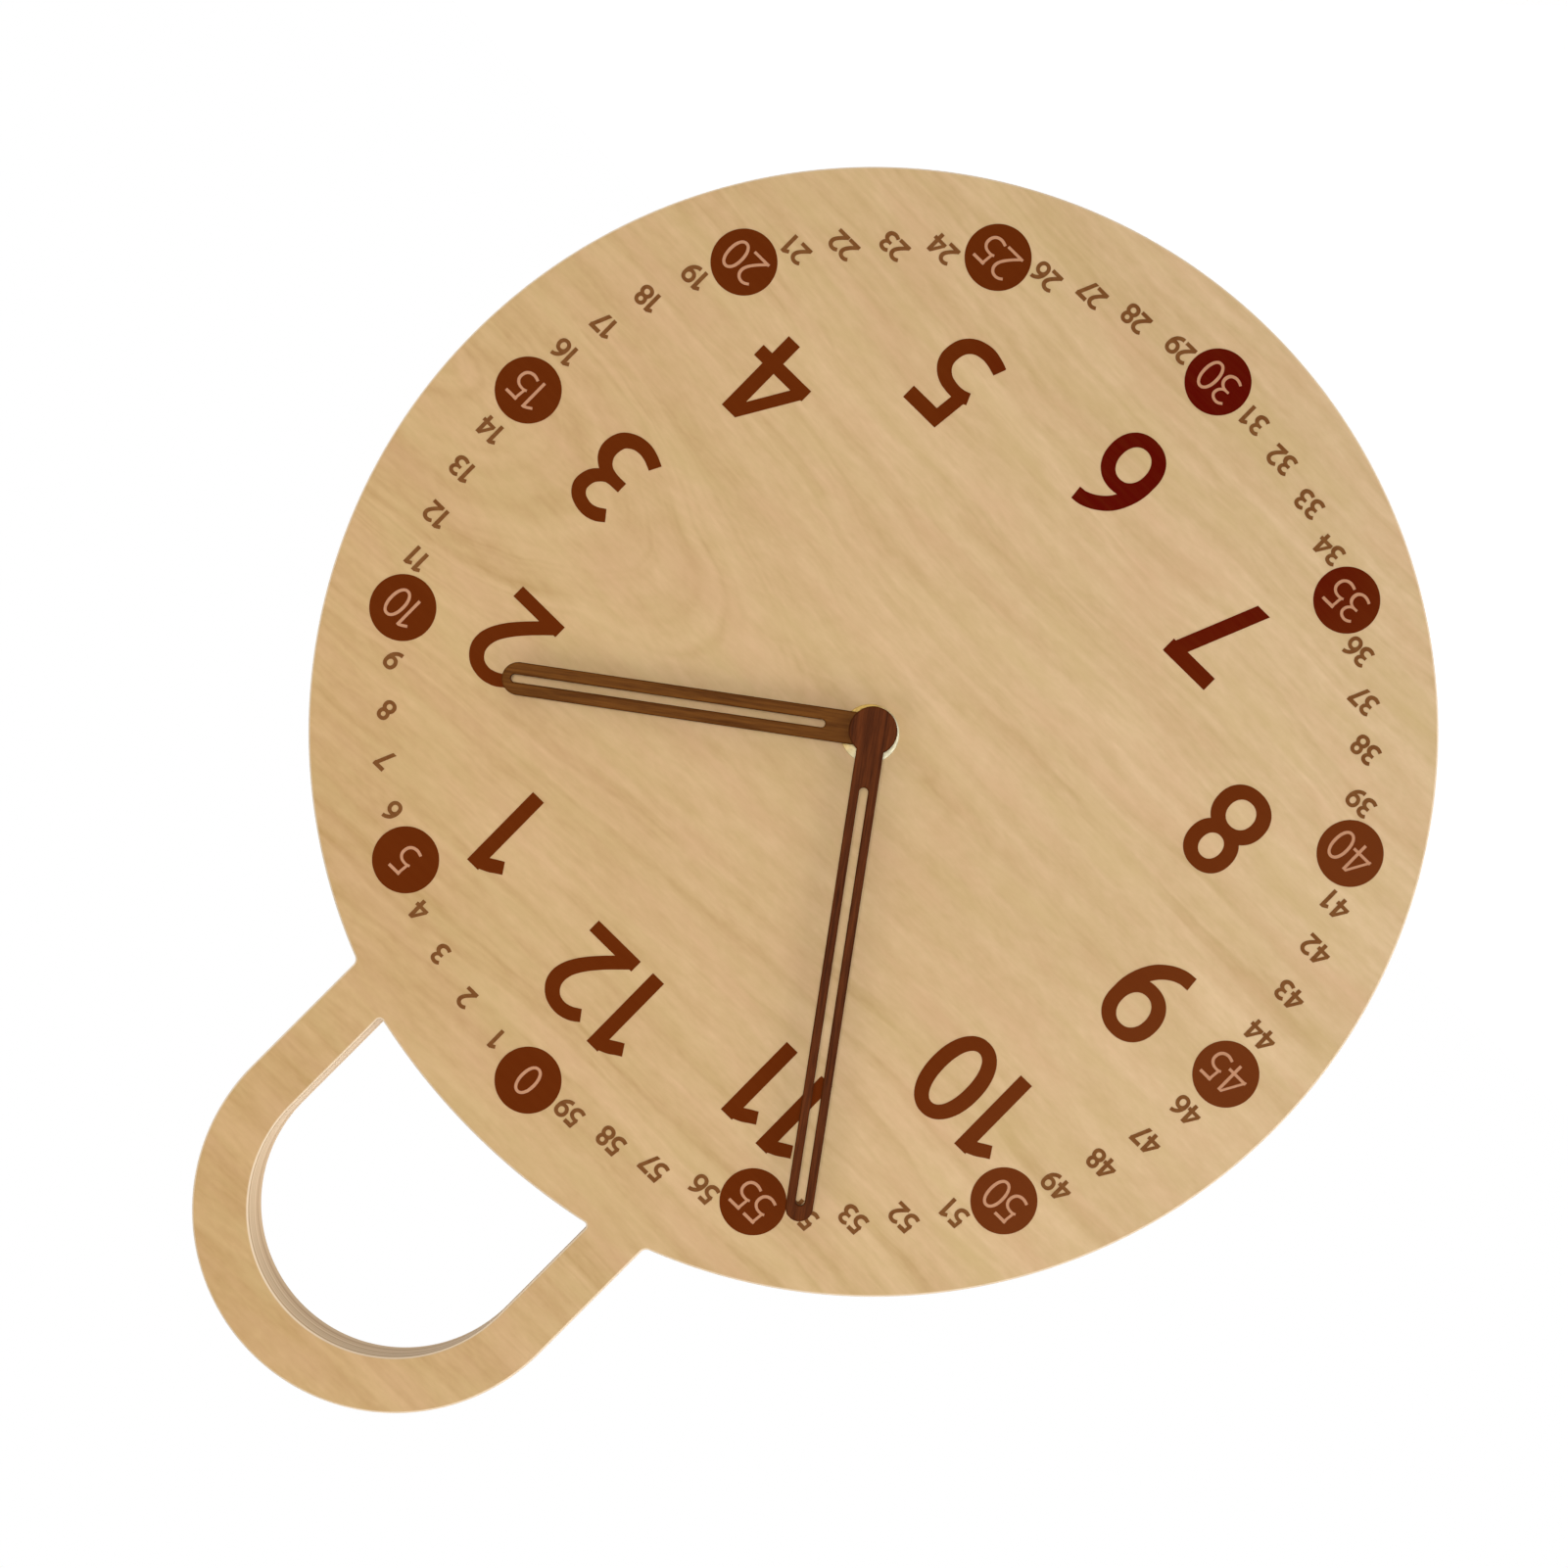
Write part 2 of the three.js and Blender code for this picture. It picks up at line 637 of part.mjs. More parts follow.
// Bridge that carries the wheels and the motor
function gearBridge() {
  const ends = Object.values(coilEnds);
  const posts = ends.map((centre) => disc(coilPostRadius, coreFront, bridgeFront, centre));
  const sheet = plate(roundedBox(bridgeBox, bridgeCornerRadius), bridgeRear, bridgeFront);
  const hole = (radius, centre) => disc(radius, bridgeRear - cutOverrun, bridgeFront + cutOverrun, centre);
  return cut(joined([sheet, ...posts]), [
    hole(hubRadius + hubClearance, shaft),
    ...[third, fifth, rotor, minuteArbor].map((centre) => hole(pivotRadius + runningClearance, centre)),
    hole(knobShaftRadius + runningClearance, knob),
    ...ends.map((centre) => disc(screwShankRadius + fitGap, coreFront - cutOverrun,
      coreFront + screwBite + fitGap, centre)),
  ]);
}

// Wheels, each on its own axis
const rearPivotEnd = coverInside + fitGap;
const rearPivotShoulder = bossFront + fitGap;
const frontPivotEnd = bridgeRear + pivotBite;

function arbor(rearShoulder, frontShoulder, frontEnd) {
  return [disc(pivotRadius, rearPivotEnd, frontEnd), disc(arborRadius, rearShoulder, frontShoulder)];
}

function centreWheel() {
  return joined([
    gear(centreWheelTeeth, centreModule, centreWheelRear, centreWheelFront),
    disc(hubRadius, centreWheelRear, hubFront),
  ]).subtract(disc(arborRadius + runningClearance, centreWheelRear - cutOverrun, hubFront + cutOverrun));
}

function clutchWasher() {
  return ring(clutchWasherRadius, arborRadius + runningClearance, hubFront, cannonRear);
}

function thirdWheel() {
  return joined([
    ...arbor(rearPivotShoulder, centreWheelFront, frontPivotEnd),
    gear(thirdWheelTeeth, secondModule, thirdWheelRear, thirdWheelFront),
    gear(thirdPinionTeeth, centreModule, thirdWheelRear, centreWheelFront + pinionOverhang),
  ]);
}

function secondWheel() {
  return joined([
    ...arbor(rearPivotShoulder, caseFront, caseFront),
    gear(secondWheelTeeth, fifthModule, secondWheelRear, secondWheelFront),
    gear(secondPinionTeeth, secondModule, secondWheelRear, thirdWheelFront + pinionOverhang),
  ]);
}

function fifthWheel() {
  return joined([
    ...arbor(rearPivotShoulder, bridgeRear - fitGap, frontPivotEnd),
    gear(fifthWheelTeeth, rotorModule, fifthWheelRear, fifthWheelFront),
    gear(fifthPinionTeeth, fifthModule, fifthWheelRear, secondWheelFront + pinionOverhang),
  ]);
}

function rotorPinion() {
  return joined([
    ...arbor(rearPivotShoulder, bridgeRear - fitGap, frontPivotEnd),
    gear(rotorTeeth, rotorModule, magnetFront, fifthWheelFront + pinionOverhang),
  ]);
}

function rotorMagnet() {
  return ring(magnetRadius, arborRadius + fitGap, magnetRear, magnetFront);
}

function minutePipe() {
  return joined([
    gear(cannonTeeth, cannonModule, cannonRear, minuteWheelFront + pinionOverhang),
    disc(minutePipeRadius, cannonRear, minutePipeFront),
  ]).subtract(disc(arborRadius + runningClearance, cannonRear - cutOverrun, minutePipeFront + cutOverrun));
}

function minuteWheel() {
  return joined([
    disc(pivotRadius, bridgeFront - pivotBite, caseInside + blindDepth - fitGap),
    disc(arborRadius, bridgeFront + fitGap, hourWheelFront + pinionOverhang),
    gear(minuteWheelTeeth, cannonModule, minuteWheelRear, minuteWheelFront),
    gear(minutePinionTeeth, hourModule, minuteWheelRear, hourWheelFront + pinionOverhang),
  ]);
}

function hourWheel() {
  return joined([
    gear(hourWheelTeeth, hourModule, hourWheelRear, hourWheelFront),
    disc(hourPipeRadius, hourWheelRear, hourHandFront),
  ]).subtract(
    disc(minutePipeRadius + runningClearance, hourWheelRear - cutOverrun, hourHandFront + cutOverrun));
}

function settingKnob() {
  return joined([
    plate(flutedOutline(knobRadius, knobFlutes, knobFluteDepth), knobRear, knobFront),
    disc(knobShaftRadius, knobRear, minuteWheelFront + pinionOverhang),
    gear(knobTeeth, cannonModule, minuteWheelRear - pinionOverhang, minuteWheelFront + pinionOverhang),
    disc(arborRadius, knobRear, caseInside + blindDepth - fitGap),
  ]);
}

// Stepping motor
function stator() {
  const half = legWidth / 2;
  const left = box(-legX - half, rotor.y - half, -legX + half, coil.y + half);
  const right = box(legX - half, rotor.y - half, legX + half, coil.y + half);
  const foot = box(-legX, rotor.y - half, legX, rotor.y + half);
  const bars = [left, right, foot].map((area) => plate(plainBox(area), statorRear, statorFront));
  return cut(joined([...bars, disc(statorRingRadius, statorRear, statorFront, rotor)]), [
    disc(statorHoleRadius, statorRear - cutOverrun, statorFront + cutOverrun, rotor),
    ...screwHoles(statorRear, statorFront),
  ]);
}

function screwHoles(rear, front) {
  return Object.values(coilEnds).map(
    (centre) => disc(screwShankRadius + fitGap, rear - cutOverrun, front + cutOverrun, centre));
}

function coilCore() {
  const half = legWidth / 2;
  const bar = box(-legX, coil.y - coreWidth / 2, legX, coil.y + coreWidth / 2);
  const ends = Object.values(coilEnds).map(
    (centre) => box(centre.x - half, centre.y - half, centre.x + half, centre.y + half));
  const sheets = [bar, ...ends].map((area) => plate(plainBox(area), statorFront, coreFront));
  return cut(joined(sheets), screwHoles(statorFront, coreFront));
}

function coilBobbin() {
  const end = bobbinLength / 2;
  const flange = (left, right) => plate(
    plainBox(box(left, coil.y - flangeHalf, right, coil.y + flangeHalf)),
    coilDepth - flangeHalf, coilDepth + flangeHalf);
  const flanges = [flange(-end, -end + flangeThickness), flange(end - flangeThickness, end)];
  const coreSlot = box(-end - cutOverrun, coil.y - coreWidth / 2 - fitGap, end + cutOverrun,
    coil.y + coreWidth / 2 + fitGap);
  return joined([...flanges, barAcross(bobbinTubeRadius, -end, end, coil.y, coilDepth)])
    .subtract(plate(plainBox(coreSlot), statorFront - fitGap, coreFront + fitGap));
}

function coilWinding() {
  const end = bobbinLength / 2 - flangeThickness - fitGap;
  return barAcross(windingRadius, -end, end, coil.y, coilDepth)
    .subtract(barAcross(bobbinTubeRadius + fitGap, -end - cutOverrun, end + cutOverrun, coil.y, coilDepth));
}

function coilScrew() {
  return joined([
    disc(screwHeadRadius, statorRear - screwHeadHeight, statorRear),
    disc(screwShankRadius, statorRear - screwHeadHeight, coreFront + screwBite),
  ]);
}

// Circuit board and what it carries
function circuitBoard() {
  return plate(plainBox(circuitBox), circuitRear, circuitFront);
}

function chipCover() {
  const centre = new THREE.Vector2(circuitMiddle, circuitBox.min.y + 3 * chipRadius);
  const lower = disc(chipRadius, circuitRear - chipHeight / 2, circuitRear, centre);
  const upper = disc(chipRadius - chipHeight / 2, circuitRear - chipHeight, circuitRear, centre);
  return lower.add(upper);
}

function quartzCrystal() {
  const geometry = new THREE.CylinderGeometry(crystalRadius, crystalRadius, crystalLength,
    sidesFor(crystalRadius, roundSag));
  geometry.rotateX(Math.PI / 2);
  const depth = circuitRear - crystalRadius - crystalGap;
  geometry.translate(circuitMiddle, -depth, circuitBox.max.y - crystalLength);
  return toSolid(geometry);
}

// Battery and its contacts
function battery() {
  const radius = batteryDiameter / 2;
  const body = batteryLength - nubHeight;
  const profile = [
    [0, 0], [radius - batteryEdge, 0], [radius, batteryEdge], [radius, body - batteryEdge],
    [radius - batteryEdge, body], [nubDiameter / 2, body],
    [nubDiameter / 2, batteryLength], [0, batteryLength],
  ].map(([across, height]) => new THREE.Vector2(across, height));
  const geometry = new THREE.LatheGeometry(profile, sidesFor(radius, roundSag));
  geometry.rotateZ(Math.PI / 2);
  geometry.translate(batteryLeft + batteryLength, -batteryAxisDepth, batteryHeight);
  return toSolid(geometry);
}

function contactStrip(corners) {
  const line = corners.map(([x, y]) => new THREE.Vector2(x, y));
  return plate(stripOutline(line, contactThickness), contactRear, contactFront);
}

function positiveContact() {
  const wall = -innerHalfWidth + contactThickness / 2;
  const tabEnd = circuitBox.min.x + contactWidth / 2;
  return contactStrip([
    [wall, batteryHeight - nubDiameter], [wall, contactTabHeight], [tabEnd, contactTabHeight],
  ]);
}

function negativeContact() {
  const wall = innerHalfWidth - contactThickness / 2;
  const touch = innerHalfWidth - leafReach + contactThickness / 2;
  const shelf = partitionTop + contactThickness / 2;
  const riser = circuitBox.max.x - contactWidth / 2;
  return contactStrip([
    [wall - contactThickness, bayBottom + leafFoot], [touch, batteryHeight - leafFlat / 2],
    [touch, batteryHeight + leafFlat / 2], [wall, partitionBottom - leafFoot / 2], [wall, shelf],
    [riser, shelf], [riser, circuitBox.min.y + contactWidth / 2],
  ]);
}

// Phases that put each gear's teeth into the gaps of the one that it meets
function meshed(teeth, driverTeeth, bearing, driverPhase) {
  return bearing + 180 - 180 / teeth + driverTeeth / teeth * (bearing - driverPhase);
}

const cannonPhase = 0;
const minuteWheelPhase = meshed(minuteWheelTeeth, cannonTeeth, minuteWheelBearing, cannonPhase);
const hourWheelPhase = meshed(hourWheelTeeth, minutePinionTeeth,
  minuteWheelBearing + 180, minuteWheelPhase);
const knobPhase = meshed(knobTeeth, minuteWheelTeeth, knobBearing, minuteWheelPhase);
const rotorPhase = 0;
const fifthPhase = meshed(fifthWheelTeeth, rotorTeeth, rotorBearing + 180, rotorPhase);
const secondPhase = meshed(secondWheelTeeth, fifthPinionTeeth, fifthBearing + 180, fifthPhase);
const thirdPhase = meshed(thirdWheelTeeth, secondPinionTeeth, thirdBearing, secondPhase);
const centrePhase = meshed(centreWheelTeeth, thirdPinionTeeth, thirdBearing + 180, thirdPhase);

// The whole clock
const movement = new THREE.Group();
movement.add(
  piece('movement_case', blackPlastic, movementCase()),
  piece('back_cover', blackPlastic, backCover()),
  piece('threaded_post', brass, threadedPost()),
  piece('gear_bridge', whitePlastic, gearBridge()),
  piece('centre_wheel', whitePlastic, centreWheel(), shaft, centrePhase),
  piece('clutch_washer', steel, clutchWasher()),
  piece('third_wheel', whitePlastic, thirdWheel(), third, thirdPhase),
  piece('second_wheel', whitePlastic, secondWheel(), shaft, secondPhase),
  piece('fifth_wheel', whitePlastic, fifthWheel(), fifth, fifthPhase),
  piece('rotor_pinion', whitePlastic, rotorPinion(), rotor, rotorPhase),
  piece('rotor_magnet', steel, rotorMagnet(), rotor),
  piece('minute_pipe', brass, minutePipe(), shaft, cannonPhase),
  piece('minute_wheel', whitePlastic, minuteWheel(), minuteArbor, minuteWheelPhase),
  piece('hour_wheel', whitePlastic, hourWheel(), shaft, hourWheelPhase),
  piece('setting_knob', whitePlastic, settingKnob(), knob, knobPhase),
  piece('stator', steel, stator()),
  piece('coil_core', steel, coilCore()),
  piece('coil_bobbin', whitePlastic, coilBobbin()),
  piece('coil_winding', copper, coilWinding()),
  piece('coil_screw_left', steel, coilScrew(), coilEnds.left),
  piece('coil_screw_right', steel, coilScrew(), coilEnds.right),
  piece('circuit_board', circuitGreen, circuitBoard()),
  piece('chip_cover', blackPlastic, chipCover()),
  piece('quartz_crystal', steel, quartzCrystal()),
  piece('positive_contact', steel, positiveContact()),
  piece('negative_contact', steel, negativeContact()),
  piece('battery', batteryGrey, battery()),
);

const clock = new THREE.Group();
clock.position.z = dialCentreHeight;
clock.add(
  piece('face_panel', maple, facePanel()),
  piece('rubber_washer', rubber, gasket()),
  piece('front_washer', brass, frontWasher()),
  piece('fixing_nut', brass, fixingNut()),
  piece('hour_hand', walnut, hourHand(), shaft, hourHandBearing),
  piece('hour_hand_bush', brass, hourHandBush()),
  piece('minute_hand', walnut, minuteHand(), shaft, minuteHandBearing),
  piece('minute_hand_bush', brass, minuteHandBush()),
  movement,
);

export default clock;
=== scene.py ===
"""Looks of the wooden wall clock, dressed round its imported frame.

Metres and degrees, +Z up, and the dial faces -Y. Flat shapes are drawn as the front shows them: x to the
right, y up.
"""

import json
import math

import bmesh
import bpy
from mathutils import Matrix, Vector
from mathutils.geometry import delaunay_2d_cdt, tessellate_polygon


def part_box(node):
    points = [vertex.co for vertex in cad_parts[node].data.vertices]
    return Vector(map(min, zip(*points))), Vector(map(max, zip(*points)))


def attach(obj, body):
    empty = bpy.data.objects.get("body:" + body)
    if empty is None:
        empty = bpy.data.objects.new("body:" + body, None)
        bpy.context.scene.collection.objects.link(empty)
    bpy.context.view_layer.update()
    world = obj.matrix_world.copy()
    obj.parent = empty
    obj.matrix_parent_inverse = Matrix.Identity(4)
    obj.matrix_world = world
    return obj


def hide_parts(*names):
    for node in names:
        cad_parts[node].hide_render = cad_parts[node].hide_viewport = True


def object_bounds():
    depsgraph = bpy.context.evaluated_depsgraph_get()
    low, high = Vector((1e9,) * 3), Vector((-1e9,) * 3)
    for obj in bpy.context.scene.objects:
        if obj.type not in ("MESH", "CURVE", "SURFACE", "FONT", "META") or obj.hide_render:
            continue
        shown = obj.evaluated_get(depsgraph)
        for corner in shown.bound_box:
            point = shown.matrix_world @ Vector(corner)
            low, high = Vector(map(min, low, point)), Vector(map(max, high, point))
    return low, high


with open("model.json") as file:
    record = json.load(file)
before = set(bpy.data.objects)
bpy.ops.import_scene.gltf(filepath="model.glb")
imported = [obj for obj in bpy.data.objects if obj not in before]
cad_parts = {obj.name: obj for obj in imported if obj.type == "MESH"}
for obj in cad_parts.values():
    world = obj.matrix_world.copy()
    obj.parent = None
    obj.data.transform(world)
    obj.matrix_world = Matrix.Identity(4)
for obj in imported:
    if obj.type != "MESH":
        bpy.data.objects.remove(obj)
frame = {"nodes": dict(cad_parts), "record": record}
cad_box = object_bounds()

# Photo, in pixels of its 1601 px frame
IMAGE_SIZE = 1601
FACE_CENTRE_PX = Vector((891.8, 747.1))
FACE_RADIUS_PX = 577.3

# Camera: how far off it stands, how far to the right of the dial's centre and above it, and its roll
CAMERA_DISTANCE = 0.86
CAMERA_ASIDE = (-0.032, 0.015)
CAMERA_ROLL = 225
SENSOR_MM = 36

# Board: the round face and its loop
FACE_RADIUS = 0.150
OPENING_WIDTH = 0.078
OPENING_CORNER = 0.001
OPENING_FOOT_RADIUS = 0.177
OPENING_FOOT_RISE = 0.0004
LIMB_WIDTH = 0.015
LIMB_FILLET = 0.002
ARCH_HEIGHT = 0.1795
POCKET_CORNER = 0.006
POCKET_CLEARANCE = 0.002
POST_HOLE_RADIUS = 0.0042
BOARD_ROUNDING = 0.0008
POCKET_ROUNDING = 0.0003

# Washer, clamped a little off the shaft: to the right and up
WASHER_RADIUS = 0.0078
WASHER_BORE = 0.0051
WASHER_SHIFT = (0.0003, 0.001)
WASHER_ROUNDING = 0.00015

# Grain: where the pith of the log lies behind the board, and the tips of its clearest arches
PITH_HEIGHT = 0.014
PITH_MIDDLE = -0.040
PITH_DEPTH = 0.045
PITH_BEND = 1.2
ARCH_TIPS = (0.018, 0.047, 0.075)
ARCH_LINE = 0.0006

# Hands
HAND_ROUNDING = 0.00045
HAND_REAR_ROUNDING = 0.00025
HUB_RADIUS = 0.0064
HANDS = {
    "hour_hand": dict(
        bearing=53.4, bore=0.0037, bore_depth=0,
        measures=dict(length=0.099, width=0.0087, slot=0.0021, slot_start=0.0128, tip_wall=0.0023),
    ),
    "minute_hand": dict(
        bearing=323.8, bore=0.0027, bore_depth=0.0012,
        measures=dict(length=0.1306, width=0.0072, slot=0.0024, slot_start=0.0152, tip_wall=0.0042),
    ),
}

# Print on the dial: how wide the pen is across and along the writing, and the gap between two digits, are
# shares of the height. A numeral with a 1 in it has a gap of its own.
MINUTES = 60
DISC_STEP = 5
PRINT_PROUD = 0.00012
DISC_DIGIT_PROUD = 0.00006
PRINT_SUNK = 0.00005
PRINT_TURN = 0.45
PRINT_SHIFT = Vector((0, -0.00035))
MINUTE_RING = 0.1297
MINUTE_RING_CENTRE = Vector((-0.00026, -0.00009))
DISC_RADIUS = 0.0089
MINUTE_STYLE = dict(height=0.0058, across=0.19, along=0.18, gap=0.035, gap_at_one=0.1)
DISC_STYLE = dict(height=0.0087, across=0.098, along=0.09, gap=0.06, gap_at_one=0.13)
HOUR_PEN = dict(across=0.163, along=0.145, gap=0, gap_at_one=0)
HOUR_NUMERALS = {
    "12": dict(centre=(0.0019, 0.0996), height=0.0252, gap_at_one=0.175),
    "1": dict(centre=(0.0483, 0.0876), height=0.0250),
    "2": dict(centre=(0.0855, 0.0505), height=0.0251),
    "3": dict(centre=(0.0971, 0.0005), height=0.0252),
    "4": dict(centre=(0.0839, -0.0460), height=0.0254),
    "5": dict(centre=(0.0500, -0.0814), height=0.0258),
    "6": dict(centre=(0.0004, -0.0940), height=0.0261),
    "7": dict(centre=(-0.0471, -0.0820), height=0.0261),
    "8": dict(centre=(-0.0850, -0.0469), height=0.0261),
    "9": dict(centre=(-0.1010, 0.0), height=0.0261),
    "10": dict(centre=(-0.0866, 0.0505), height=0.0253, gap_at_one=0.144),
    "11": dict(centre=(-0.0526, 0.0876), height=0.0250, gap_at_one=0.13),
}

# How far each minute stands off its even place, to the right and up, in tenths of a millimetre
NUDGE = 0.0001
MINUTE_NUDGES = {
    0: (7, 9), 1: (4, -2), 2: (6, -3), 3: (8, -3), 4: (0, 3), 5: (0, -6), 6: (2, 0), 7: (7, 3),
    8: (-1, 2), 9: (-4, 0), 10: (0, -3), 11: (-1, 0), 12: (-2, 7), 13: (0, 3), 14: (-2, 11), 15: (-6, 1),
    16: (2, -4), 17: (-1, 6), 18: (1, 6), 19: (2, 3), 20: (-2, 6), 21: (-6, 0), 22: (0, 9), 23: (0, 12),
    24: (7, 12), 25: (1, -1), 26: (-4, 7), 27: (2, 4), 28: (6, 4), 30: (2, -1), 31: (-5, -2),
    32: (6, 0), 33: (4, -3), 34: (7, -2), 35: (1, -2), 36: (-2, 0), 37: (1, -3), 38: (3, -9), 39: (-1, -6),
    40: (-2, -4), 41: (-12, 0), 42: (-7, -5), 43: (-6, -2), 44: (-5, -5), 45: (-4, -4), 46: (-4, 3),
    47: (-5, -1), 48: (0, -4), 49: (-4, -5), 50: (6, 0), 51: (1, 2), 52: (5, 0), 53: (3, 0),
    55: (4, -6), 57: (8, 4), 58: (8, -2), 59: (6, 0),
}

# Digits as pen strokes, in shares of the height: x from the middle, y from the foot. A ring has its middle,
# half width, half height and pen weight; a curve has points with a pen weight each; a line has two ends.
# Ink outside the clip box is left out, and in the hidden box all ink but the first stroke's.
# The strokes are drawn for a pen as wide as PEN_ROOM, whose middle runs along FOOT_LINE at the foot.
PEN_ROOM = 0.145
FOOT_LINE = PEN_ROOM / 2
SQUARENESS = 2.15
DIGITS = {
    "0": dict(rings=[(0, 0.5, 0.243, 0.4325, 1.04)]),
    "1": dict(
        curves=[[(0.1, 0.94, 1), (-0.03, 0.885, 1), (-0.11, 0.835, 0.97), (-0.175, 0.797, 0.95)]],
        lines=[[(0.089, -0.1), (0.089, 1.1)]],
        clip=(-1, 0, 1, 1),
    ),
    "2": dict(
        curves=[[
            (-0.262, 0.852, 0.93), (-0.16, 0.916, 1), (-0.04, 0.943, 1), (0.09, 0.912, 1.02),
            (0.18, 0.82, 1.04), (0.205, 0.705, 1.04), (0.172, 0.575, 1), (0.085, 0.435, 0.98),
            (-0.035, 0.295, 0.96), (-0.16, 0.17, 0.95), (-0.27, 0.065, 0.95),
        ]],
        lines=[[(-0.315, 0.0775), (0.305, 0.0775)]],
        clip=(-0.315, 0, 1, 2),
    ),
    "3": dict(
        curves=[
            [(-0.253, 0.85, 0.93), (-0.155, 0.915, 1), (-0.04, 0.9375, 1), (0.085, 0.905, 1),
             (0.155, 0.835, 0.98), (0.172, 0.755, 0.96), (0.145, 0.65, 0.93), (0.06, 0.56, 0.9),
             (-0.03, 0.53, 0.87), (-0.17, 0.5235, 0.87)],
            [(-0.17, 0.5235, 0.87), (-0.02, 0.52, 0.87), (0.1, 0.487, 0.95), (0.185, 0.405, 1.08),
             (0.212, 0.295, 1.13), (0.175, 0.165, 1.1), (0.07, 0.085, 1.06), (-0.055, 0.0625, 1.04),
             (-0.17, 0.085, 0.99), (-0.277, 0.132, 0.96)],
        ],
    ),
    "4": dict(
        lines=[
            [(0.1425, -0.1), (0.1425, 1.1)],
            [(-0.348, 0.3215), (0.348, 0.3215)],
            [(-0.36, 0.222), (0.145, 1.07)],
        ],
        weights=(1, 1, 0.8),
        clip=(-0.348, 0, 1, 1),
        hidden=(-0.348, 0, 0.061, 0.248),
    ),
    "5": dict(
        curves=[[
            (-0.235, 0.548, 0.88), (-0.15, 0.578, 0.92), (-0.05, 0.5845, 0.93), (0.08, 0.558, 0.97),
            (0.18, 0.478, 1), (0.2175, 0.365, 1.01), (0.188, 0.215, 1.02), (0.09, 0.113, 1.05),
            (-0.05, 0.076, 1.08), (-0.17, 0.092, 1.04), (-0.272, 0.125, 1),
        ]],
        lines=[[(-0.185, 0.92), (0.265, 0.92)], [(-0.116, 1.02), (-0.1665, 0.566)]],
        weights=(1.1, 0.86),
        clip=(-0.293, -1, 1, 1),
    ),
    "6": dict(
        rings=[(0, 0.3315, 0.237, 0.2665, 0.96)],
        curves=[[
            (0.228, 0.9375, 1), (0.13, 0.925, 1), (0.01, 0.868, 1), (-0.108, 0.765, 1),
            (-0.19, 0.62, 0.98), (-0.232, 0.47, 0.96), (-0.237, 0.33, 0.96),
        ]],
    ),
    "7": dict(
        lines=[[(-0.287, 0.9185), (0.298, 0.9185)], [(-0.205, -0.1), (0.27, 1.04)]],
        weights=(1.12, 0.98),
        clip=(-0.287, 0, 0.298, 1),
    ),
    "8": dict(rings=[(0, 0.2925, 0.228, 0.2275, 0.98), (0, 0.729, 0.198, 0.2085, 0.96)]),
    "9": dict(
        rings=[(0, 0.6725, 0.237, 0.2595, 0.96)],
        curves=[[
            (-0.243, 0.075, 1.04), (-0.13, 0.087, 1.02), (-0.01, 0.14, 1), (0.108, 0.243, 1),
            (0.19, 0.385, 0.98), (0.232, 0.53, 0.96), (0.237, 0.67, 0.96),
        ]],
    ),
}

# CAD nodes that get rounded edges: the body they ride on, and the rounding
SOFTENED = {
    "movement_case": ("clock_body", 0.00025),
    "back_cover": ("clock_body", 0.00025),
    "battery": ("battery", 0.00025),
    "setting_knob": ("setting_knob", 0.0002),
    "fixing_nut": ("clock_body", 0.0002),
}
FLAT_ANGLE = 0.5
SHARP_ANGLE = 35
BEVEL_STEPS = 2

# A mix node has its colours by number only: its share, its two colours and its result
MIX_SHARE = 0
MIX_FIRST = 6
MIX_SECOND = 7
MIX_RESULT = 2

# How finely curves are cut
BOARD_SIDES = 480
SMALL_SIDES = 96
SLOT_SIDES = 48
FILLET_STEPS = 5
RING_SIDES = 56
CURVE_STEPS = 5
MERGE_DISTANCE = 1e-6

# Finishes: colours in levels of 0 to 255, sizes of patterns along x, y and z, and depths of bumps.
# A ramp has the two pattern levels that it runs between, and may have the two shares that it gives there.
SOFT_RAMP = (0.35, 0.65)
WIDE_RAMP = (0.3, 0.7)

# Board: what its tone adds up, the tint over it, its layered edge, and the painted highlight on its rounded
# edges
BOARD_PATTERNS = {
    "bands": dict(weight=0.75, size=(0.11, 0.03, 0.008), detail=2),
    "levels": dict(weight=0.65, size=(0.10, 0.05, 0.007), detail=2),
    "streaks": dict(weight=0.7, size=(0.06, 0.03, 0.0026), detail=2),
    "threads": dict(weight=0.19, size=(0.018, 0.01, 0.0009), detail=1),
    "clouds": dict(weight=0.6, size=(0.007, 0.007, 0.003), detail=3),
    "flecks": dict(weight=0.4, size=(0.0036, 0.0036, 0.0013), detail=2),
}
PATTERNS_IN_LOG = ("bands", "streaks")
LINE_WEIGHT = 0.3
TONE_OFFSET = -1.245
WARP = 0.010
WARP_SIZE = (0.09, 0.05, 0.035)
ROUND_SHARE = 0.3
YEARS_PER_METRE = 230
LINE_RAMP = (0.5, 0.74)
LINE_WEAR_SIZE = (0.05, 0.05, 0.02)
LINE_WEAR_LEAST = 0.2
DRIFT_ENDS = (-0.19, 0.24)
TINT_SIZE = (0.045, 0.02, 0.011)
ROSY_RAMP = (0.5, 0.75, 0, 0.45)
OLIVE_RAMP = (0.5, 0.25, 0, 0.5)
LAYER_SIZE = (0.4, 0.0016, 0.4)
RIM_HIGHLIGHT_FACING = (0.3, 0.55)
FACE_FACING = (0.85, 0.985)
BUMP_FACING = (0.8, 0.97)
BOARD_BUMP = 0.00006
BOARD_COLOURS = dict(
    pale_low=(226, 195, 153), pale_high=(210, 173, 124), dark_low=(197, 165, 117), dark_high=(181, 143, 89),
    rosy=(211, 168, 129), olive=(203, 176, 121),
    # rim is a painted highlight, lighter than the face, for the rounded edges
    pale_layer=(206, 181, 148), dark_layer=(170, 141, 106), rim=(228, 206, 176),
)

